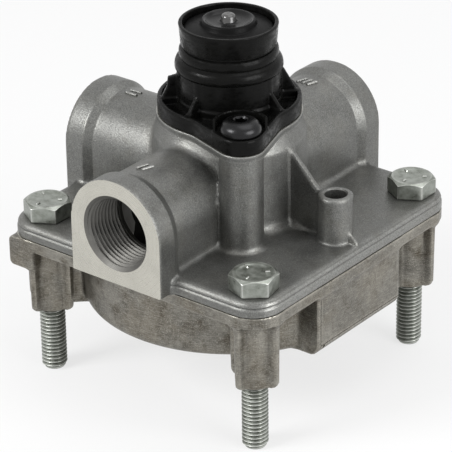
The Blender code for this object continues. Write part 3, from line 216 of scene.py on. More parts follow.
def ringed(name, reach, angle, height, closed=False, place=Matrix.Identity(4)):
    """Solid over rows of points, one row to a ring, each point at a reach and an angle round Z and a height.
    The first and the last ring are capped, or where closed is set joined to each other.
    """
    points = np.stack(np.broadcast_arrays(reach * np.cos(angle), reach * np.sin(angle), height), axis=2)
    index = np.arange(points.size // 3).reshape(points.shape[:2])
    below = np.roll(index, -1, axis=0)
    quads = np.stack([index, np.roll(index, -1, axis=1), np.roll(below, -1, axis=1), below], axis=2)
    if closed:
        faces = quads.reshape(-1, 4).tolist()
    else:
        faces = quads[:-1].reshape(-1, 4).tolist() + [index[0][::-1].tolist(), index[-1].tolist()]
    return placed(name, points.reshape(-1, 3), faces, place)


def threaded(name, radius, depth, pitch, low, high, steps=96, per_pitch=8, place=Matrix.Identity(4),
             ends=(0.0, 0.0)):
    """Screw-threaded rod: radius less depth times a wave of height and angle, which moves up a pitch a turn.
    The wave fades out over the last pitch at each end, where the radius is less by what ends gives.
    """
    rows = int(round((high - low) / pitch * per_pitch)) + 1
    angle = around(steps)
    height = np.linspace(low, high, rows)[:, None]
    phase = height / pitch - angle / math.tau
    ridge = np.abs(2.0 * (phase - np.floor(phase)) - 1.0)
    reach = radius - depth * np.clip(ridge * 1.35 - 0.12, 0.0, 1.0)
    for from_end, less in ((height - low, ends[0]), (high - height, ends[1])):
        fade = np.clip(from_end / pitch, 0.0, 1.0)
        reach = fade * reach + (1.0 - fade) * (radius - less)
    return ringed(name, reach, angle, height, place=place)


def closed_outwards(piece):
    """Merge a closed mesh's doubles and point its faces outwards."""
    bm = bmesh.new()
    bm.from_mesh(piece.data)
    bmesh.ops.remove_doubles(bm, verts=bm.verts, dist=1e-8)
    bmesh.ops.recalc_face_normals(bm, faces=bm.faces)
    bm.to_mesh(piece.data)
    bm.free()
    return piece


def placed(name, points, faces, place):
    """Closed piece whose points a matrix turns and moves, in millimetres."""
    moved = points @ np.array(place.to_3x3()).T + np.array(place.translation)
    return closed_outwards(mesh_piece(name, moved, faces))


def padded(name, levels, steps=288):
    """Solid with the pad's outline at each level of (height, margin): the radius at every angle is found by
    halving the span in which the outline's distance changes sign.
    """
    angle = around(steps)[0]
    reach = []
    for height, grow in levels:
        inner = np.zeros(steps)
        outer = np.full(steps, 60.0)
        for _ in range(36):
            middle = 0.5 * (inner + outer)
            within = pad_outline(middle * np.cos(angle), middle * np.sin(angle), grow) < 0.0
            inner = np.where(within, middle, inner)
            outer = np.where(within, outer, middle)
        reach.append(inner)
    return ringed(name, np.array(reach), angle, np.array(levels)[:, :1])


def block(name, low, high):
    """Box between two corners."""
    corners = [(x, y, z) for x in (low[0], high[0]) for y in (low[1], high[1]) for z in (low[2], high[2])]
    faces = [(0, 1, 3, 2), (4, 6, 7, 5), (0, 4, 5, 1), (2, 3, 7, 6), (0, 2, 6, 4), (1, 5, 7, 3)]
    return closed_outwards(mesh_piece(name, corners, faces))


def worked(piece, others, operation):
    """Cut the others out of a piece, or join them to it, and keep the result as its mesh."""
    for other in others:
        step = piece.modifiers.new(other.name, "BOOLEAN")
        step.operation = operation
        step.solver = "MANIFOLD"
        step.object = other
    graph = bpy.context.evaluated_depsgraph_get()
    result = bpy.data.meshes.new_from_object(piece.evaluated_get(graph))
    piece.modifiers.clear()
    piece.data = result
    piece.data.materials.clear()
    for other in others:
        bpy.data.objects.remove(other, do_unlink=True)
    return piece


def towards(direction, origin):
    """Matrix that turns the Z axis to a direction and moves it to a point in millimetres."""
    return Matrix.Translation(origin) @ Vector(direction).to_track_quat("Z", "Y").to_matrix().to_4x4()


class Finish:
    """Node material whose patterns all lie on the object's own coordinates or on values of its points."""

    def __init__(self, name, colour, roughness, metallic):
        self.made = bpy.data.materials.new(name)
        self.made.use_nodes = True
        self.tree = self.made.node_tree
        self.shader = self.tree.nodes["Principled BSDF"]
        self.shader.inputs["Base Color"].default_value = (*colour, 1.0)
        self.shader.inputs["Roughness"].default_value = roughness
        self.shader.inputs["Metallic"].default_value = metallic
        self.place = self.tree.nodes.new("ShaderNodeTexCoord").outputs["Object"]

    def node(self, kind, **values):
        """New node with the given settings and input values."""
        made = self.tree.nodes.new(kind)
        for key, value in values.items():
            name = key.replace("_", " ").title()
            if name in made.inputs:
                made.inputs[name].default_value = value
            else:
                setattr(made, key, value)
        return made

    def feed(self, socket, value):
        """Set a socket to a number or a colour, or link another socket to it."""
        if isinstance(value, float):
            socket.default_value = value
        elif isinstance(value, tuple):
            socket.default_value = (*value, 1.0)
        else:
            self.tree.links.new(value, socket)

    def give(self, socket, source):
        """Link a socket to an input of the shader."""
        self.tree.links.new(source, self.shader.inputs[socket])

    def noise(self, size, detail=3.0, roughness=0.5, stretch=(1.0, 1.0, 1.0)):
        """Noise whose grains are about size millimetres across."""
        place = self.place
        if stretch != (1.0, 1.0, 1.0):
            mapping = self.node("ShaderNodeMapping", scale=stretch)
            self.feed(mapping.inputs["Vector"], place)
            place = mapping.outputs["Vector"]
        made = self.node("ShaderNodeTexNoise", scale=1.0 / (size * MM), detail=detail, roughness=roughness)
        self.feed(made.inputs["Vector"], place)
        return made.outputs["Fac"]

    def attribute(self, name):
        """Value stored at the mesh's points under a name."""
        return self.node("ShaderNodeAttribute", attribute_name=name).outputs["Fac"]

    def times(self, first, second):
        """Product of a socket and a socket or number."""
        made = self.node("ShaderNodeMath", operation="MULTIPLY")
        self.feed(made.inputs[0], first)
        self.feed(made.inputs[1], second)
        return made.outputs[0]

    def ramp(self, source, low, high, first=0.0, last=1.0):
        """Grey that runs from first, where the source is at most low, to last, where it is at least high."""
        made = self.node("ShaderNodeValToRGB")
        for element, position, value in zip(made.color_ramp.elements, (low, high), (first, last)):
            element.position = position
            element.color = (value, value, value, 1.0)
        self.feed(made.inputs["Fac"], source)
        return made.outputs["Color"]

    def mixed(self, share, first, second):
        """Two colours mixed by a share, which is a number or a socket."""
        made = self.node("ShaderNodeMix", data_type="RGBA")
        for number, value in ((0, share), (6, first), (7, second)):
            self.feed(made.inputs[number], value)
        return made.outputs[2]

    def bumped(self, heights):
        """Chain of bumps from (height socket, strength, distance in millimetres)."""
        normal = None
        for height, strength, distance in heights:
            made = self.node("ShaderNodeBump", strength=strength, distance=distance * MM)
            self.feed(made.inputs["Height"], height)
            if normal is not None:
                self.feed(made.inputs["Normal"], normal)
            normal = made.outputs["Normal"]
        self.give("Normal", normal)


def toned(factor, colour):
    """Colour with each channel times a factor."""
    return tuple(factor * channel for channel in colour)


def cast_aluminium(name, dark, light, stain, stain_share, spread=0.5, scraped=0.0):
    """Blasted die casting: fine grain and soft clouds from the mould, bright specks, dull stains, creases
    darkened with painted shade, and edges that are rubbed bright in broken patches. Spread is how wide the
    clouds' middle tones reach, and scraped how much shows of the fine level scratches.
    """
    finish = Finish(name, light, 0.42, 0.82)
    grain = finish.noise(0.42, 3.0, 0.6)
    coarse = finish.noise(1.3, 3.0, 0.65)
    clouds = finish.noise(9.0, 4.0, 0.6)
    wear_and_shade = finish.attribute("wear_and_shade")
    specks = finish.ramp(finish.noise(0.24, 0.0), 0.66, 0.73)
    marks = finish.ramp(finish.noise(5.5, 5.0, 0.65), 0.52, 0.70)
    runs = finish.ramp(finish.noise(2.4, 4.0, 0.6, (1.0, 1.0, 0.3)), 0.55, 0.72)
    patches = finish.ramp(finish.noise(13.0, 3.0, 0.55), 0.48, 0.62)
    lines = finish.ramp(finish.noise(0.9, 5.0, 0.7, (0.35, 0.35, 3.0)), 0.50, 0.66)
    # Painted shade: creases, where the stored value falls below flat, get a darker colour.
    crease = finish.ramp(wear_and_shade, 0.26, 0.45, 1.0, 0.0)
    broken = finish.ramp(finish.noise(0.55, 4.0, 0.7), 0.38, 0.60, 0.15)
    broken = finish.times(finish.ramp(wear_and_shade, 0.56, 0.76), broken)
    base = finish.mixed(finish.ramp(clouds, 0.5 - spread, 0.5 + spread), dark, light)
    layers = [(finish.times(patches, 0.45 * stain_share), toned(2.7, stain)),
              (finish.ramp(coarse, 0.35, 0.65, 0.35, 0.0), toned(0.72, dark)),
              (finish.ramp(grain, 0.38, 0.62, 0.0, 0.55 - 0.6 * scraped), toned(1.35, light)),
              (finish.times(marks, stain_share), stain),
              (finish.times(runs, 0.6 * stain_share), toned(0.8, stain)),
              (finish.times(lines, scraped), toned(1.75, light)),
              # painted shade in the creases
              (finish.times(crease, 0.5), toned(0.45, dark)),
              (finish.times(specks, 0.4), toned(2.2, light)),
              (finish.times(broken, 0.6), toned(2.0, light))]
    for share, colour in layers:
        base = finish.mixed(share, base, colour)
    finish.give("Base Color", base)
    rough = finish.ramp(clouds, 0.3, 0.7, 0.34, 0.48)
    finish.give("Roughness", finish.mixed(finish.times(broken, 0.7), rough, (0.27, 0.27, 0.27)))
    finish.bumped([(finish.noise(3.2, 2.0), 0.25, 0.10), (coarse, 0.3, 0.06), (grain, 0.9 - scraped, 0.09)])
    return finish.made


def machined(name, colour, mark, roughness=0.3):
    """Machined metal: bright and a little cloudy, with the tool's fine marks as level lines."""
    finish = Finish(name, colour, roughness, 0.9)
    lines = finish.noise(mark, 3.0, 0.6, (1.0, 1.0, 6.0))
    clouds = finish.noise(2.5, 4.0, 0.65)
    finish.give("Base Color", finish.mixed(clouds, toned(0.74, colour), toned(1.12, colour)))
    finish.give("Roughness", finish.ramp(lines, 0.3, 0.7, roughness - 0.06, roughness + 0.10))
    finish.bumped([(clouds, 0.12, 0.05), (lines, 0.35, 0.02)])
    return finish.made


def faced(name, colour, axis, height):
    """Face cut by a turning tool: fine rings round a level axis, which catch the light in faint arcs."""
    finish = Finish(name, colour, 0.3, 0.9)
    mapping = finish.node("ShaderNodeMapping", location=(0.0, 0.0, -height * MM))
    finish.feed(mapping.inputs["Vector"], finish.place)
    rings = finish.node("ShaderNodeTexWave", scale=0.2 / MM, distortion=3.0, detail=3.0, wave_type="RINGS",
                        rings_direction=axis)
    finish.feed(rings.inputs["Vector"], mapping.outputs["Vector"])
    clouds = finish.noise(5.0, 4.0, 0.6)
    scuffs = finish.ramp(finish.noise(1.6, 5.0, 0.7), 0.58, 0.70, 0.0, 0.35)
    base = finish.mixed(clouds, toned(0.86, colour), toned(1.1, colour))
    finish.give("Base Color", finish.mixed(scuffs, base, toned(0.62, colour)))
    finish.give("Roughness", finish.ramp(rings.outputs["Fac"], 0.2, 0.8, 0.27, 0.40))
    finish.bumped([(clouds, 0.15, 0.08), (rings.outputs["Fac"], 0.07, 0.010)])
    return finish.made


def wear_and_shade_from_bend(piece, rounds=2, rubbed=None):
    """Store at each point how round the surface is there: the mean over its edges of the neighbour's drop
    below the point's tangent plane, over the squared length of the edge, averaged with the neighbours for a
    few rounds. A half stands for flat, more for an outer edge, less for a crease. The materials rub outer
    edges bright by it and paint shade into creases. Rubbed adds to it by place, for wear and for painted
    highlight and shade.
    """
    mesh = piece.data
    count = len(mesh.vertices)
    place = np.empty(count * 3, np.float32)
    normal = np.empty(count * 3, np.float32)
    pairs = np.empty(len(mesh.edges) * 2, np.int32)
    mesh.vertices.foreach_get("co", place)
    mesh.vertices.foreach_get("normal", normal)
    mesh.edges.foreach_get("vertices", pairs)
    place = place.reshape(-1, 3) / MM
    normal = normal.reshape(-1, 3)
    first, last = pairs.reshape(-1, 2).T
    gap = place[last] - place[first]
    squared = np.maximum((gap * gap).sum(axis=1), 0.02)
    ends = np.concatenate([first, last])
    others = np.concatenate([last, first])
    drop = np.concatenate([-(gap * normal[first]).sum(axis=1), (gap * normal[last]).sum(axis=1)])
    edges = np.maximum(np.bincount(ends, minlength=count), 1)
    bend = np.bincount(ends, weights=drop / np.tile(squared, 2), minlength=count) / edges
    bend = np.clip(bend, -1.5, 1.5)
    for _ in range(rounds):
        bend = 0.5 * bend + 0.5 * np.bincount(ends, weights=bend[others], minlength=count) / edges
    value = 0.5 + 0.5 * bend
    if rubbed is not None:
        value += rubbed(*place.T, normal)
    layer = mesh.attributes.new("wear_and_shade", "FLOAT", "POINT")
    layer.data.foreach_set("value", np.clip(value, 0.0, 1.0).astype(np.float32))


def smooth_faces(piece, crease=34.0):
    """Smooth shading that breaks at edges sharper than the crease, in degrees."""
    piece.data.shade_smooth()
    piece.data.set_sharp_from_angle(angle=math.radians(crease))


def spaced(low, high, step, places):
    """Grid positions a step apart, and 0.3 mm apart within a millimetre of each of the places."""
    coarse = np.arange(low, high, step)
    near = np.abs(coarse[:, None] - np.array(places)[None, :]).min(axis=1) < 1.0
    return np.unique(np.concatenate([coarse[~near]] + [np.arange(at - 0.9, at + 1.0, 0.3) for at in places]))


creases = [PORT_FACE - RIM_BACK - RIM_TAPER, PORT_FACE - RIM_BACK]
xs = spaced(-53.9, 49.6, BODY_STEP, [-SUPPLY_FACE + RIM_BACK + RIM_TAPER, -SUPPLY_FACE + RIM_BACK])
ys = spaced(-54.9, 55.0, BODY_STEP, creases + [-place for place in creases])
zs = np.concatenate([[-2.2, -1.6, -1.1, -0.6], np.arange(-0.2, 5.6, 0.22), np.arange(6.0, 34.1, 0.6),
                     np.arange(34.4, 37.0, 0.3)])
x, y, z = np.ix_(xs, ys, zs)
out = np.hypot(x, y)

edge_z = [-3.0, 0.0, 0.35, 2.25, 2.6, 2.75, 3.1, 3.3, 3.7, 4.2, 4.6, 4.85, 5.0, 5.2]
edge_in = [0.3, 0.3, 0.0, 0.0, 0.12, 0.42, 0.42, 0.2, 0.28, 0.55, 0.95, 1.4, 2.0, 2.6]
square = box_2d(x, y, FLANGE_HALF, FLANGE_HALF, FLANGE_CORNER)
flange = np.maximum(square + np.interp(z, edge_z, edge_in), np.maximum(z - FLANGE_THICK, -z))

shoulder = np.interp(z, [0.0, 30.0, 34.6, 37.0], [23.0, 23.0, 21.0, 20.9])
upper = eased(out - shoulder, z - LIP_FOOT, 0.8)
column = np.minimum(np.hypot(x - LOBE_XY, y + LOBE_XY), np.hypot(x + LOBE_XY, y - LOBE_XY)) - 6.5
upper = blended(upper, np.maximum(column, z - 36.0), 2.2)


def port_form(across, along, face):
    """Distance to an arch-shaped port along one side: a half round on straight walls, wider at its rim."""
    above = z - AXIS_UP
    arch = np.where(above > 0.0, np.hypot(across, above), np.abs(across))
    taper = np.interp(along, [face - RIM_BACK - RIM_TAPER, face - RIM_BACK], [PORT_R, RIM_R])
    return np.maximum(arch - taper, along - face - 0.5)


for across, along, face in ((x, -y, PORT_FACE), (x, y, PORT_FACE), (y, -x, SUPPLY_FACE)):
    tube = np.maximum(port_form(across, along, face), 6.0 - along)
    upper = blended(upper, np.where(along > 0.0, tube, 60.0), 1.8)

upper = np.maximum(upper, z - LIP_FOOT)

from_boss = np.hypot(x - BOLT_PLACE, y)
boss = eased(from_boss - 5.25, z - 19.7, 0.7)
web_top = (z - 19.06 + (x - 33.6)) * DIAGONAL
web = np.maximum(eased(np.abs(y) - 0.95, web_top, 0.5), np.maximum(x - BOLT_PLACE, 18.0 - x))
gusset_top = (z - 9.4 + (x - 43.6) * 0.95) * 0.72
gusset = np.maximum(eased(np.abs(y) - 0.8, gusset_top, 0.6), np.maximum(x - 47.4, BOLT_PLACE - x))
upper = blended(upper, blended(boss, blended(web, gusset, 0.6), 0.8), 1.1)
foot = np.minimum(np.interp(out, [27.0, 34.0], [3.4, 1.9]), np.interp(from_boss, [9.0, 14.0], [1.0, 3.4]))
casting = skinned("body_casting", blended(flange, np.maximum(upper, -z), foot), xs, ys, zs + PARTING)
lip = padded("lip", [(NECK_TOP - below, 0.4) for below in (1.85, 1.3, 0.8, 0.4, 0.2)] + [(NECK_TOP, 0.2)])
worked(casting, [lip], "UNION")

bolt_places = [Matrix.Translation((sx * BOLT_PLACE, sy * BOLT_PLACE, 0)) for sx in (-1, 1) for sy in (-1, 1)]
screw_places = [Matrix.Translation((lobe, -lobe, 0)) for lobe in (-LOBE_XY, LOBE_XY)]
mouths = {"front": towards((0, 1, 0), (0, -PORT_FACE, PORT_AXIS)),
          "back": towards((0, -1, 0), (0, PORT_FACE, PORT_AXIS)),
          "left": towards((1, 0, 0), (-SUPPLY_FACE, 0, PORT_AXIS))}
cuts = [block("joint_plane", (-60, -60, PARTING - 5), (60, 60, PARTING)),
        block("front_plane", (-30, -60, 10), (30, -PORT_FACE, 70)),
        block("back_plane", (-30, PORT_FACE, 10), (30, 60, 70)),
        block("left_plane", (-60, -30, 10), (-SUPPLY_FACE, 30, 70))]
for side, mouth in mouths.items():
    cuts += [threaded("thread_" + side, radius=11.05, depth=0.85, pitch=1.5, low=0.4, high=14.0, steps=80,
                      place=mouth, ends=(0.0, 0.6)),
             turned("mouth_" + side, [(0, -1), (12.8, -1), (11.8, 0), (10.7, 1.1), (0, 1.1)], 96, mouth),
             turned("drill_" + side, [(0, 13.5), (10.2, 13.5), (10.2, 15.2), (0, 18.0)], 64, mouth)]
axis_bores = [(0, 22), (12.5, 22), (12.5, 34.7), (9.5, 34.7), (9.5, 38.2), (10.7, 38.2), (11.1, 37.4),
              (13.2, 37.4), (13.2, 52.4), (14.5, 52.4), (14.5, 57.3), (15.8, 57.3), (15.8, 58.8),
              (14.5, 58.8), (14.5, 61), (0, 61)]
cuts += [turned("axis_bores", axis_bores),
         block("slot_front", (-6, -38.6, 20), (6, -18.5, PORT_AXIS)),
         block("slot_back", (-6, 18.5, 20), (6, 38.6, PORT_AXIS))]
cuts += [drilled("link_" + side, 7.4, 13, 33.1, 48, mouths[side]) for side in ("front", "back")]
cuts.append(drilled("supply_duct", 6.3, 13, 41, 48, towards((1, 0, 0), (-SUPPLY_FACE, 0, PARTING + 22.4))))
cuts += [drilled("bolt_hole", BOLT_HOLE_R, 20, 32, 48, place) for place in bolt_places]
foot_hole = [(0, 32.9), (3.3, 33.7), (3.3, 42.5), (3.7, 42.95), (4.2, 43.4), (0, 43.4)]
cuts.append(turned("foot_hole", foot_hole, 48, Matrix.Translation((BOLT_PLACE, 0, 0))))
cuts += [drilled("screw_hole", SCREW_HOLE_R, 46.8, 61, 40, place) for place in screw_places]
worked(casting, cuts, "DIFFERENCE")


def raised_bars(name, place, turn, bars):
    """Plain raised strokes: low tapered bars of (along, across, length, width, degrees) round a place."""
    made = []
    for number, (along, across, length, width, degrees) in enumerate(bars):
        points = [(sx * (length / 2 - inset), sy * (width / 2 - inset), height)
                  for height, inset in ((-1.6, 0.0), (0.12, 0.0), (0.42, 0.16))
                  for sx, sy in ((-1, -1), (1, -1), (1, 1), (-1, 1))]
        faces = [(3, 2, 1, 0), (8, 9, 10, 11)]
        faces += [(r + i, r + (i + 1) % 4, r + 4 + (i + 1) % 4, r + 4 + i) for r in (0, 4) for i in range(4)]
        bar = mesh_piece(f"{name}_{number}", points, faces)
        for shift, angle in (((along, across, 0), degrees), (place, turn)):
            bar.data.transform(Matrix.Rotation(math.radians(angle), 4, "Z"))
            bar.data.transform(Matrix.Translation(Vector(shift) * MM))
        made.append(closed_outwards(bar))
    return made


tube_top = PORT_AXIS + PORT_R
leaning = [(along, 0.0, 4.0, 0.9, 74.0) for along in (-1.9, 0.0, 1.9)]
upright = [(along, 0.0, 4.4, 0.9, 90.0) for along in (-1.1, 1.1)]
worked(casting, raised_bars("front_mark", (0.0, -38.4, tube_top), 0.0, leaning[:2])
       + raised_bars("back_mark", (0.0, 38.4, tube_top), 0.0, leaning)
       + raised_bars("left_mark", (-37.4, 0.0, tube_top), 90.0, upright), "UNION")
smooth_faces(casting)


def body_wear_and_shade(x, y, z, normal):
    """What the place adds: the flange's right side is rubbed bright, its front and left side are a little dull,
    the neck's shoulder gets a painted highlight, and the side of its lip painted shade from the snout above.
    """
    edge = (z > PARTING + 0.3) & (z < FLANGE_TOP - 0.9)
    # Painted light: a painted highlight on the neck's shoulder and painted shade on the side of the lip.
    shoulder_painted_highlight = (np.abs(z - PARTING - 32.4) < 2.4) & (np.hypot(x, y) < 23.4)
    lip_side_painted_shade = (z > NECK_TOP - 2.4) & (z < NECK_TOP - 0.4) & (np.abs(normal[:, 2]) < 0.3)
    sides = 0.32 * (edge & (x > 47.0)) - 0.02 * (edge & (y < -47.0)) - 0.06 * (edge & (x < -47.0))
    return sides + 0.07 * shoulder_painted_highlight - 0.22 * lip_side_painted_shade


def coated(piece, *looks):
    """Give a piece its materials, one slot each."""
    piece.data.materials.clear()
    for look in looks:
        piece.data.materials.append(look)


wear_and_shade_from_bend(casting, 2, body_wear_and_shade)
CAST = cast_aluminium("cast_aluminium", (0.098, 0.099, 0.094), (0.170, 0.171, 0.163), (0.10, 0.095, 0.08),
                      0.35)
MACHINED = machined("machined_aluminium", (0.44, 0.43, 0.385), 0.5)
# Painted shade: a darker copy of the machined metal for the threaded bores, inside which shade falls.
TAPPED_SHADED = machined("tapped_aluminium_shaded", (0.150, 0.147, 0.137), 0.4, 0.50)
FACED = (0.50, 0.487, 0.435)
coated(casting, CAST, MACHINED, TAPPED_SHADED, faced("faced_delivery_port", FACED, "Y", PORT_AXIS),
       faced("faced_supply_port", FACED, "X", PORT_AXIS))


def machined_faces(piece, tests):
    """Give each face the material of the last test that it passes. The tests are told the coordinates of its
    middle and how much it faces up.
    """
    count = len(piece.data.polygons)
    middle = np.empty(count * 3, np.float32)
    facing = np.empty(count * 3, np.float32)
    piece.data.polygons.foreach_get("center", middle)
    piece.data.polygons.foreach_get("normal", facing)
    chosen = np.zeros(count, np.int32)
    for slot, passed in tests(*(middle.reshape(-1, 3) / MM).T, facing[2::3]):
        chosen[passed] = slot
    piece.data.polygons.foreach_set("material_index", chosen)


def in_bore(along, aside, above, radius, start, end):
    """Which places lie within a radius of a level axis, between two places along it."""
    return (np.hypot(aside, above) < radius) & (along > start) & (along < end)


# Slot 2, the threaded bores, carries the painted shade.
machined_faces(casting, lambda x, y, z, up: [
    (3, np.abs(y) > PORT_FACE - 0.02), (4, x < -SUPPLY_FACE + 0.02), (1, z < PARTING + 0.02),
    (1, (z > NECK_TOP - 0.19) & (up > 0.9)), (1, np.hypot(x, y) < 14.6),
    (2, in_bore(np.abs(y), x, z - PORT_AXIS, 12.0, 16, 53.55)),
    (2, in_bore(-x, y, z - PORT_AXIS, 12.0, 15, 51.25))])
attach(casting, "housing")
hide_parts("valve_body")


# Lower cover: a second die casting, a round bowl under a square rim. At each corner a post with crossed fins
# carries a bolt through. It is a little browner than the body, with brown stains and fine level scratches.

RIM_LOW = 19.4
RIM_HIGH = 22.9
BOWL_R = 45.84
POST_LOW = -2.5
FIN_TOP = 21.0
PAD_FACE = 48.25
CONTROL_AXIS = 10.3
COVER_STEP = 0.62
CAD_GAP = 0.3       # what the solids leave between two pieces that sit on each other
SEATED = 0.24       # how far a piece of this file is let down into that gap

xs = np.arange(-52.4, 49.6, COVER_STEP)
ys = np.arange(-49.6, 49.7, COVER_STEP)
zs = np.concatenate([np.arange(-3.3, 18.7, 0.62), np.arange(18.9, 24.2, 0.25)])
x, y, z = np.ix_(xs, ys, zs)
out = np.hypot(x, y)
square = box_2d(x, y, FLANGE_HALF, FLANGE_HALF, FLANGE_CORNER)

rim = eased(square, RIM_LOW - z, 0.8)
bowl = eased(out - BOWL_R + 0.02 * (RIM_LOW - z), -z, 3.6)
cover = blended(rim, bowl, 1.6)

from_bolt_x = np.abs(x) - BOLT_PLACE
from_bolt_y = np.abs(y) - BOLT_PLACE
draft = 0.012 * (z - POST_LOW)
post = eased(np.hypot(from_bolt_x, from_bolt_y) - 5.3 - draft, POST_LOW - z, 0.6)


def fin(thin, wide):
    """Distance to an upright plate 2 mm thick with round lower corners, reaching both ways from a bolt."""
    plate = box_2d(wide, z - FIN_TOP, 8.4 + draft, FIN_TOP - POST_LOW - 0.35, 2.4)
    return eased(np.abs(thin) - 1.0 - 0.6 * draft, plate, 0.5)


fins = np.minimum(fin(from_bolt_y, from_bolt_x), fin(from_bolt_x, from_bolt_y))
outwards = (from_bolt_x + from_bolt_y) * DIAGONAL
aside = (from_bolt_x - from_bolt_y) * DIAGONAL
link = np.maximum(np.abs(aside) - 3.4, np.maximum(outwards, -16.0 - outwards))
link = eased(link, POST_LOW + 1.6 - z, 1.2)
cover = blended(cover, blended(blended(post, fins, 0.55), link, 0.9), 1.6)

lug = eased(box_2d(x + 42.6, z - 17.9, 4.7, 5.0, 2.0), np.abs(y + 46.9) - 1.6, 0.6)
cover = blended(cover, lug, 0.9)

pad = eased(np.abs(y) - 20.5, x - PAD_FACE, 0.7)
pad = eased(pad, ((x - PAD_FACE) + (2.4 - z)) * DIAGONAL, 0.8)
pad = np.maximum(pad, np.maximum(0.2 - z, 34.0 - x))
cover = blended(cover, pad, 1.0)

control = eased(np.hypot(y, z - 10.32) - 10.3, -x - 52.0, 0.2)
cover = blended(cover, np.maximum(control, x + 38.0), 1.4)
cover_casting = skinned("cover_casting", np.maximum(cover, z - RIM_HIGH - 0.4), xs, ys, zs)

mouth = towards((1, 0, 0), (-SUPPLY_FACE, 0, CONTROL_AXIS))
cuts = [block("rim_plane", (-60, -60, RIM_HIGH + SEATED), (60, 60, 30)),
        block("control_plane", (-60, -20, -5), (-SUPPLY_FACE, 20, 25)),
        turned("bowl_inside", [(0, 3.8), (40.5, 3.8), (41.6, 4.2), (42, 5.2), (42, 24), (0, 24)], 128),
        turned("ring_groove", [(43.4, 21.6), (45.2, 21.6), (45.2, 24), (43.4, 24)], 128)]
post_hole = [(0, -4), (5.2, -4), (BOLT_HOLE_R, -2.2), (BOLT_HOLE_R, 24), (0, 24)]
cuts += [turned("post_hole", post_hole, 48, place) for place in bolt_places]
cuts += [block("pad_line_near", (48.0, -19.45, 1.6), (49.0, -19.15, 18.6)),
         block("pad_line_low", (48.0, -19.45, 3.35), (49.0, 20.9, 3.6)),
         block("pad_notch", (46.9, -18.2, -0.5), (49.0, -17.2, 3.2)),
         threaded("control_thread", radius=8.0, depth=0.8, pitch=1.5, low=0.4, high=7.0, steps=64,
                  place=mouth, ends=(0.0, 0.6)),
         turned("control_mouth", [(0, -1), (9.3, -1), (8.3, 0), (7.4, 0.9), (0, 0.9)], 64, mouth),
         drilled("control_duct", 3.2, 6, 12.3, 32, towards((1, 0, 0), (-SUPPLY_FACE, 0, 7.9)))]
worked(cover_casting, cuts, "DIFFERENCE")
smooth_faces(cover_casting)
wear_and_shade_from_bend(cover_casting, 2, lambda x, y, z, normal: 0.10 * ((normal[:, 0] > 0.9) & (x > 47.0)))
coated(cover_casting, cast_aluminium("cover_aluminium", (0.082, 0.077, 0.067), (0.232, 0.222, 0.195),
                                     (0.058, 0.047, 0.031), 0.85, 0.17, 0.42), MACHINED, TAPPED_SHADED)
machined_faces(cover_casting, lambda x, y, z, up: [
    (1, z > RIM_HIGH + SEATED - 0.02), (1, x < -SUPPLY_FACE + 0.02), (1, (np.hypot(x, y) < 42.1) & (z > 3.5)),
    (2, in_bore(-x, y, z - CONTROL_AXIS, 8.6, 42, 51.25))])
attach(cover_casting, "housing")
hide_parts("lower_cover")


# Relay piston and the seals round it: a turned aluminium piston that slides in the bowl, with a rubber ring
# in its groove. A second ring seals the cover against the body. They only show when the valve is apart.

def moulded_rubber(name, colour, roughness=0.5, shine=0.3):
    """Black rubber with a fine skin, as shiny as it is told."""
    finish = Finish(name, colour, roughness, 0.0)
    finish.shader.inputs["Specular IOR Level"].default_value = shine
    fine = finish.noise(0.35, 2.0)
    finish.give("Base Color", finish.mixed(finish.noise(3.0), toned(0.7, colour), colour))
    finish.give("Roughness", finish.ramp(fine, 0.3, 0.7, roughness - 0.08, roughness + 0.10))
    finish.bumped([(finish.noise(1.6, 2.0), 0.2, 0.08), (fine, 0.25, 0.02)])
    return finish.made


def seal_ring(name, node, body):
    """Rubber ring in a CAD seal's place: a round section, as high as the seal, carried once about Z."""
    low, high = (np.array(corner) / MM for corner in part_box(node))
    section = (high[2] - low[2]) / 2.0
    side = around(20)
    reach = high[0] - 1.05 * section + section * np.cos(side)
    height = (high[2] + low[2]) / 2.0 + section * np.sin(side)
    ring = ringed(name, reach, around(120).T, height, closed=True)
    smooth_faces(ring, 60.0)
    coated(ring, RUBBER)
    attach(ring, body)
    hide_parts(node)


RUBBER = moulded_rubber("seal_rubber", (0.020, 0.020, 0.021))
coated(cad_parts["relay_piston"], machined("turned_aluminium", (0.66, 0.67, 0.68), 0.35))
seal_ring("piston_seal", "piston_o_ring", "piston")
seal_ring("cover_seal", "cover_o_ring", "housing")


# Inlet valve: a hollow brass stem with a rubber ring under its disc, held on its seat by a coil spring and
# guided by a plastic ring, which a snap ring holds in the neck.

def drawn_metal(name, colour, roughness, size):
    """Drawn or turned metal with fine marks round the axis."""
    finish = Finish(name, colour, roughness, 1.0)
    marks = finish.noise(size, 3.0, 0.6, (1.0, 1.0, 8.0))
    finish.give("Base Color", finish.mixed(marks, toned(0.82, colour), colour))
    finish.give("Roughness", finish.ramp(marks, 0.3, 0.7, roughness - 0.07, roughness + 0.08))
    finish.bumped([(marks, 0.25, 0.015)])
    return finish.made


def moulded_plastic(name, colour, roughness, grain, shine=0.5):
    """Moulded plastic: an even skin with a very fine grain, and gloss that changes in streaks and smears."""
    finish = Finish(name, colour, roughness, 0.0)
    finish.shader.inputs["Specular IOR Level"].default_value = shine
    skin = finish.noise(grain, 2.0)
    smears = finish.noise(2.6, 4.0, 0.65, (1.0, 1.0, 2.6))
    finish.give("Base Color", finish.mixed(finish.noise(7.0), toned(0.75, colour), colour))
    finish.give("Roughness", finish.ramp(smears, 0.36, 0.60, roughness - 0.12, roughness + 0.22))
    finish.bumped([(smears, 0.3, 0.06), (skin, 0.3, 0.02)])
    return finish.made


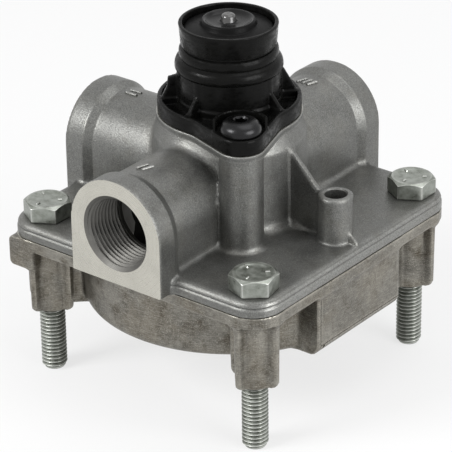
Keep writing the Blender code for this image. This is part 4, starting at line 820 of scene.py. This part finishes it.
def coil(name, radius, wire, low, high, turns):
    """Round wire wound about Z: its middle turns evenly, and rises by about the wire's width in the first and
    the last turn and faster between. Both ends are ground flat, which holds the height between low and high.
    """
    turn = np.linspace(0.0, turns, int(turns * 64) + 1)
    end_rise = 2.1 * wire
    start, stop = low + 0.3 * wire, high - 0.3 * wire
    middle = np.interp(turn, [0.0, 1.0, turns - 1.0, turns], [start, start + end_rise, stop - end_rise, stop])
    side = around(14)
    height = np.clip(middle[:, None] + wire * np.sin(side), low, high)
    return ringed(name, radius + wire * np.cos(side), math.tau * turn[:, None], height)


coated(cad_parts["inlet_valve"], drawn_metal("valve_brass", (0.72, 0.56, 0.30), 0.30, 0.3))
coated(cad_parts["retaining_ring"], drawn_metal("ring_steel", (0.30, 0.30, 0.31), 0.32, 0.3))
coated(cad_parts["valve_guide"], moulded_plastic("guide_plastic", (0.62, 0.60, 0.55), 0.45, 0.4))
coated(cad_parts["valve_rubber"], RUBBER)
for seal in ("guide", "stem", "snout"):
    seal_ring(seal + "_seal", seal + "_o_ring", "housing")

END_REACH = 0.2     # how much nearer the coil's ends come to what they press on than the CAD spring's
spring_low, spring_high = (corner[2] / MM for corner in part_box("valve_spring"))
spring_low, spring_high = spring_low - END_REACH, spring_high + END_REACH
spring = coil("valve_coil", 10.4, 0.7, spring_low, spring_high, 4.5)
smooth_faces(spring, 50.0)
coated(spring, drawn_metal("spring_steel", (0.45, 0.46, 0.48), 0.28, 0.3))
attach(spring, "housing")
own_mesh(spring)
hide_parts("valve_spring")


# Flange bolts: zinc-plated M8 hexagon bolts, cold headed, with rolled threads. Each clamps the body on the
# cover and its tip sticks out of the post, for the bracket that the valve hangs on.

BOLT_SEAT = FLANGE_TOP + CAD_GAP
BOLT_TIP = BOLT_SEAT - 52.0
BOLT_R = 3.95
HEAD_HEIGHT = 5.1
HEAD_FLATS = 13.0
HEAD_TURNS = {"front": (1, -1, 41.0), "left": (-1, -1, 30.0), "right": (1, 1, 30.0), "back": (-1, 1, 12.0)}


def hexagon_head(name, turn):
    """Chamfered hexagon head: at each angle the rings run from the middle of a dished top out to the
    hexagon's own radius there, dropping past the chamfer circle, and then down the flat to the seat.
    """
    angle = around(180)
    inside = (angle + math.pi / 6) % (math.pi / 3) - math.pi / 6
    flat = HEAD_FLATS / 2 / np.cos(inside) - 0.12 * np.clip((np.abs(inside) - 0.42) / 0.10, 0, 1) ** 2
    circle = 0.945 * HEAD_FLATS / 2
    share = np.array([0.30, 0.62, 0.74, 0.80, 0.86, 1.0])[:, None]
    inner_r = circle * share + 0.0 * angle
    inner_z = BOLT_SEAT + HEAD_HEIGHT - np.array([0.28, 0.28, 0.22, 0.06, 0.0, 0.03])[:, None] + 0.0 * angle
    outward = np.array([0.12, 0.35, 0.6, 0.85, 0.96, 1.0])[:, None]
    outer_r = circle + (flat - circle) * outward
    outer_z = BOLT_SEAT + HEAD_HEIGHT - 0.04 - 0.62 * (outer_r - circle) - 0.05 * (outward > 0.99)
    level = 0.0 * angle + BOLT_SEAT
    radius = np.concatenate([inner_r, outer_r, flat, flat, flat - 0.25])
    height = np.concatenate([inner_z, outer_z, outer_z[-1:] - 0.15, level + 0.1, level - SEATED])
    return ringed(name, radius, angle + math.radians(turn + 30.0), height)


def zinc_plated(name, dull, roughness):
    """Zinc plate: light grey with a faint green cast, cloudy, bright on rubbed edges, with painted shade in its
    creases.
    Dull is the share of a dark grey over all of it.
    """
    finish = Finish(name, (0.34, 0.36, 0.33), roughness, 0.95)
    clouds = finish.noise(2.2, 4.0, 0.6)
    fine = finish.noise(0.25, 2.0)
    wear_and_shade = finish.attribute("wear_and_shade")
    base = finish.mixed(finish.ramp(clouds, 0.35, 0.65), (0.20, 0.213, 0.187), (0.335, 0.352, 0.322))
    base = finish.mixed(finish.ramp(wear_and_shade, 0.58, 0.8, 0.0, 0.8), base, (0.60, 0.61, 0.58))
    # Painted shade: dark grey where the surface bends inwards, in creases.
    base = finish.mixed(finish.ramp(wear_and_shade, 0.2, 0.44, 0.85, 0.0), base, (0.075, 0.08, 0.065))
    finish.give("Base Color", finish.mixed(dull, base, (0.05, 0.054, 0.046)))
    finish.give("Roughness", finish.ramp(clouds, 0.3, 0.7, roughness - 0.04, roughness + 0.14))
    finish.bumped([(fine, 0.35, 0.02), (clouds, 0.2, 0.05)])
    return finish.made


ZINC = zinc_plated("zinc_plate", 0.0, 0.30)
ZINC_THREAD = zinc_plated("zinc_thread", 0.22, 0.44)
for place, (sx, sy, turn) in HEAD_TURNS.items():
    bolt = hexagon_head("bolt_" + place, turn)
    rod = threaded("rod_" + place, radius=BOLT_R, depth=0.62, pitch=1.25, low=BOLT_TIP,
                   high=BOLT_SEAT - 10.0, steps=72, per_pitch=10, ends=(0.9, 0.0))
    plain = turned("plain_" + place, [(0, -10.4), (3.6, -10.4), (BOLT_R, -9.9), (BOLT_R, 1.0), (0, 1.0)], 72,
                   rise=BOLT_SEAT)
    dish = (0, 0, BOLT_SEAT + HEAD_HEIGHT - 0.28)
    ticks = [raised_bars(f"tick_{place}_{third}", dish, turn + 120.0 * third, [(4.0, 0.0, 1.5, 0.5, 0.0)])[0]
             for third in range(3)]
    worked(bolt, [plain, rod] + ticks, "UNION")
    bolt.data.transform(Matrix.Translation((sx * BOLT_PLACE * MM, sy * BOLT_PLACE * MM, 0)))
    smooth_faces(bolt, 28.0)
    wear_and_shade_from_bend(bolt, 1)
    coated(bolt, ZINC, ZINC_THREAD)
    machined_faces(bolt, lambda x, y, z, up: [(1, z < BOLT_SEAT - 9.0)])
    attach(bolt, "housing")
    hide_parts("flange_bolt_" + place)


# Exhaust snout: moulded in black glass-filled plastic. Its two-lobed flange sits on the neck, and a collar
# and a ring run round its tube. Ribs stiffen the flange and thin walls shield the screws.

SNOUT_LOW = NECK_TOP + CAD_GAP
SNOUT_HIGH = 27.7
FLANGE_HIGH = 4.5
LEDGE_HIGH = SNOUT_HIGH - 3.0
TUBE_R = 15.45

xs = np.arange(-27.6, 27.7, 0.38)
ys = np.arange(-27.6, 27.7, 0.38)
zs = np.arange(-1.57, 14.6, 0.3)
x, y, z = np.ix_(xs, ys, zs)
out = np.hypot(x, y)
along = (x - y) * DIAGONAL
across = (x + y) * DIAGONAL
from_screw = np.hypot(np.abs(along) - LOBE_PLACE, across)
on_axes = np.minimum(np.abs(x), np.abs(y))
lobes = pad_outline(x, y, 0.0)

plate = eased(np.maximum(lobes, -SEATED - z), z - FLANGE_HIGH, 0.7)
pocket = np.maximum(np.maximum(lobes + 1.5, 2.4 - z), np.maximum(15.7 - out, 8.3 - from_screw))
pocket = np.maximum(pocket, np.maximum(0.8 - on_axes, 1.05 - np.abs(along)))
form = blended(eased(plate, -pocket, 0.5), np.maximum(out - TUBE_R, z - 13.2), 0.9)
straight = np.interp(z, [4.5, 11.6, 12.8], [20.3, 16.4, 15.4])
stepped = np.interp(z, [4.5, 8.0, 11.0, 11.7], [20.3, 18.6, 18.2, 15.4])
gussets = eased(np.abs(along) - 0.9, out - np.where(across > 0.0, straight, stepped), 0.4)
ribs = eased(on_axes - 0.65, out - np.interp(z, [4.5, 9.1], [19.5, 15.4]), 0.4)
form = blended(form, np.maximum(np.minimum(gussets, ribs), np.maximum(12.5 - out, z - 13.0)), 0.6)
wall = np.maximum(np.abs(from_screw - 7.6) - 0.45, np.maximum(np.abs(along) - LOBE_PLACE + 1.3, z - 8.4))
form = np.maximum(blended(form, eased(wall, z - 8.3, 0.3), 0.5), -SEATED - z)
moulding = skinned("snout_moulding", form, xs, ys, zs + SNOUT_LOW)

barrel = turned("barrel", [
    (0, -1.0), (14.0, -1.0), (14.2, -0.8), (14.2, 0.4), (TUBE_R, 0.4), (TUBE_R, 13.0), (15.75, 13.3),
    (16.0, 13.7), (16.13, 14.2), (16.1, 14.9), (15.95, 15.6), (15.7, 16.2), (15.2, 16.7), (14.75, 16.95),
    (14.55, 17.15), (14.62, 17.4), (14.78, 17.75), (14.82, 18.3), (14.8, 18.9), (14.7, 19.5), (14.5, 20.0),
    (14.1, 20.25), (13.7, 20.4), (13.7, 20.75), (14.1, 20.95), (14.25, 21.2), (14.7, 26.9), (14.8, 27.25),
    (14.72, 27.55), (14.5, SNOUT_HIGH), (13.9, SNOUT_HIGH), (13.68, 27.55), (13.6, 27.3), (0, 27.3)], 144,
    rise=SNOUT_LOW)
worked(moulding, [barrel], "UNION")
bore = [(0, -2), (12.3, -2), (12.3, LEDGE_HIGH), (13.6, LEDGE_HIGH), (13.6, 28.7), (0, 28.7)]
cuts = [turned("snout_bore", bore, 128, rise=SNOUT_LOW),
        turned("seal_groove", [(16.35, -1), (18.45, -1), (18.45, 1.6), (16.35, 1.6)], rise=SNOUT_LOW)]
cuts += [drilled("snout_hole", SCREW_HOLE_R, SNOUT_LOW - 1, SNOUT_LOW + 6, 40, place)
         for place in screw_places]
worked(moulding, cuts, "DIFFERENCE")
spider_top = SNOUT_LOW + LEDGE_HIGH - 0.6
spokes = [turned("hub", [(1.6, -2.6), (3.4, -2.6), (3.4, 0), (1.6, 0)], 48, rise=spider_top)]
for quarter in range(4):
    spoke = block(f"spoke_{quarter}", (2.7, -0.9, spider_top - 2.5), (12.7, 0.9, spider_top - 0.1))
    spoke.data.transform(Matrix.Rotation(math.radians(45 + 90 * quarter), 4, "Z"))
    spokes.append(spoke)
worked(moulding, spokes, "UNION")
smooth_faces(moulding, 32.0)
coated(moulding, moulded_plastic("black_plastic", (0.0045, 0.0045, 0.0042), 0.23, 0.5, 0.09))
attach(moulding, "housing")
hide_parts("exhaust_snout")


# Snout screws: blackened steel, with a round pan head and a six-lobed recess pressed into it. They go
# through the snout's lobes and are driven into the neck's two columns.

SCREW_SEAT = SNOUT_LOW + FLANGE_HIGH + CAD_GAP


def lobed_rod(name, radius, wave, low, high):
    """Straight rod whose radius swings six times round the turn."""
    angle = around(96)
    return ringed(name, radius + wave * np.cos(6.0 * angle), angle, np.array([[low], [high]]))


BLACK_STEEL = drawn_metal("black_steel", (0.033, 0.033, 0.034), 0.29, 0.4)
for place, sign in (("front", 1), ("back", -1)):
    screw = turned("screw_" + place, [
        (0, -16), (1.5, -16), (1.9, -15.5), (1.9, -0.9), (2.3, -0.9), (2.3, 0.3), (5.6, -SEATED),
        (5.85, -0.1), (6.0, 0.4), (6.0, 1.2), (5.93, 1.6), (5.76, 2.05), (5.45, 2.5), (5.0, 2.93),
        (4.4, 3.31), (3.6, 3.63), (2.6, 3.83), (0, 3.9)], rise=SCREW_SEAT)
    recess_edge = [(0, 3.3), (1.75, 3.3), (2.3, 4.0), (2.3, 4.6), (0, 4.6)]
    worked(screw, [lobed_rod("recess_" + place, 1.7, 0.26, SCREW_SEAT + 1.6, SCREW_SEAT + 5.0),
                   turned("recess_edge_" + place, recess_edge, 48, rise=SCREW_SEAT)], "DIFFERENCE")
    thread = threaded("screw_thread_" + place, radius=2.42, depth=0.35, pitch=1.0, low=SCREW_SEAT - 15.6,
                      high=SCREW_SEAT - 0.5, steps=48, ends=(0.4, 0.0))
    worked(screw, [thread], "UNION")
    screw.data.transform(Matrix.Translation((sign * LOBE_XY * MM, -sign * LOBE_XY * MM, 0)))
    smooth_faces(screw, 35.0)
    coated(screw, BLACK_STEEL)
    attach(screw, "housing")
    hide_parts("snout_screw_" + place)


# Exhaust flap: a soft rubber disc with a bead, buttoned into the snout's hub by its stem. Its edge lies on
# the ledge inside the rim and lifts when air leaves.

FLAP_REST = SNOUT_LOW + LEDGE_HIGH + CAD_GAP
flap = turned("flap", [
    (0, -5.8), (1.3, -5.4), (2.1, -4.6), (2.1, -3.8), (1.3, -3.7), (1.3, -0.6), (2.7, -0.6), (6.5, 0),
    (13.3, 0), (13.3, 0.55), (13.15, 0.8), (12.7, 0.93), (9.0, 1.45), (8.5, 1.6), (8.25, 1.95), (8.05, 2.9),
    (7.85, 3.3), (7.5, 3.5), (7.1, 3.42), (6.8, 3.15), (6.4, 2.75), (5.2, 2.42), (3.2, 2.25), (2.5, 2.35),
    (2.15, 2.75), (2.1, 4.1), (1.9, 4.6), (1.4, 4.9), (0.8, 5.0), (0.5, 4.9), (0, 4.85)], 112, rise=FLAP_REST)
smooth_faces(flap, 50.0)
# The knob's lighter grey is a painted highlight, besides its real gloss.
coated(flap, moulded_rubber("flap_rubber", (0.006, 0.006, 0.006), 0.40, 0.07),
       moulded_rubber("flap_middle", (0.012, 0.012, 0.012), 0.20, 0.16),
       moulded_rubber("flap_knob_painted_highlight", (0.055, 0.054, 0.052), 0.14, 0.8))
machined_faces(flap, lambda x, y, z, up: [(1, (np.hypot(x, y) < 7.4) & (z > FLAP_REST + 1.0)),
                                          (2, (np.hypot(x, y) < 2.3) & (z > FLAP_REST + 2.6))])
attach(flap, "housing")
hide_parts("exhaust_flap")


# Studio: a pale floor just under the bolt tips, a pale sky, three soft square lamps and the camera at the
# photo's angle. Lamps and camera are placed in metres.

FLOOR = BOLT_TIP - 0.05


def seen_directly(tree):
    """Socket that is 1 for rays from the camera and for those that a mirror or glass sends on."""
    ray = tree.nodes.new("ShaderNodeLightPath")
    total = ray.outputs["Is Camera Ray"]
    for kind in ("Is Glossy Ray", "Is Transmission Ray"):
        larger = tree.nodes.new("ShaderNodeMath")
        larger.operation = "MAXIMUM"
        tree.links.new(total, larger.inputs[0])
        tree.links.new(ray.outputs[kind], larger.inputs[1])
        total = larger.outputs[0]
    return total


def shown_white(tree, lit, white, share, output):
    """Send to an output a lit shader with a share of a plain white one over it."""
    over = tree.nodes.new("ShaderNodeMixShader")
    tree.links.new(share, over.inputs["Fac"])
    tree.links.new(lit.outputs[0], over.inputs[1])
    tree.links.new(white.outputs[0], over.inputs[2])
    tree.links.new(over.outputs[0], tree.nodes[output].inputs["Surface"])


bpy.ops.mesh.primitive_plane_add(size=8.0, location=(0, 0, FLOOR * MM))
floor = bpy.context.object
floor.name = "floor"
paper = Finish("floor_paper", (0.86, 0.86, 0.86), 0.8, 0.0)
shown_white(paper.tree, paper.shader, paper.node("ShaderNodeEmission", strength=1.0),
            paper.times(seen_directly(paper.tree), 0.7), "Material Output")
floor.data.materials.append(paper.made)

world = bpy.data.worlds.new("studio")
bpy.context.scene.world = world
world.use_nodes = True
tree = world.node_tree
background = tree.nodes["Background"]
background.inputs["Color"].default_value = (0.98, 0.99, 1.0, 1.0)
background.inputs["Strength"].default_value = 0.42
white = tree.nodes.new("ShaderNodeBackground")
white.inputs["Color"].default_value = (1.0, 1.0, 1.0, 1.0)
shown_white(tree, background, white, seen_directly(tree), "World Output")


def lamp(name, place, aim, size, power):
    """Square soft lamp at a place, turned to what it aims at."""
    light = bpy.data.lights.new(name, "AREA")
    light.size = size
    light.energy = power
    made = bpy.data.objects.new(name, light)
    bpy.context.scene.collection.objects.link(made)
    made.location = place
    made.rotation_mode = "QUATERNION"
    made.rotation_quaternion = (Vector(aim) - Vector(place)).to_track_quat("-Z", "Y")


lamp("key", (-0.40, -0.80, 0.62), (0, 0, 0.03), 0.45, 7.9)
lamp("top", (0.15, 0.25, 0.95), (0, 0, 0.03), 0.7, 2.6)
lamp("fill", (0.90, 0.0, 0.30), (0, 0, 0.03), 0.6, 6.3)

camera = bpy.data.cameras.new("camera")
camera.lens = 214.85
camera.sensor_width = 36.0
camera.clip_end = 20.0
eye = bpy.data.objects.new("camera", camera)
bpy.context.scene.collection.objects.link(eye)
right = Vector((0.7849, 0.6195, -0.0128))
up = Vector((-0.2708, 0.3616, 0.8921))
back = Vector((0.5572, -0.6968, 0.4516))
turn = Matrix((right, up, back)).transposed().to_4x4()
eye.matrix_world = Matrix.Translation((0.45558, -0.57219, 0.39055)) @ turn
bpy.context.scene.camera = eye
bpy.context.scene.view_settings.view_transform = "Standard"
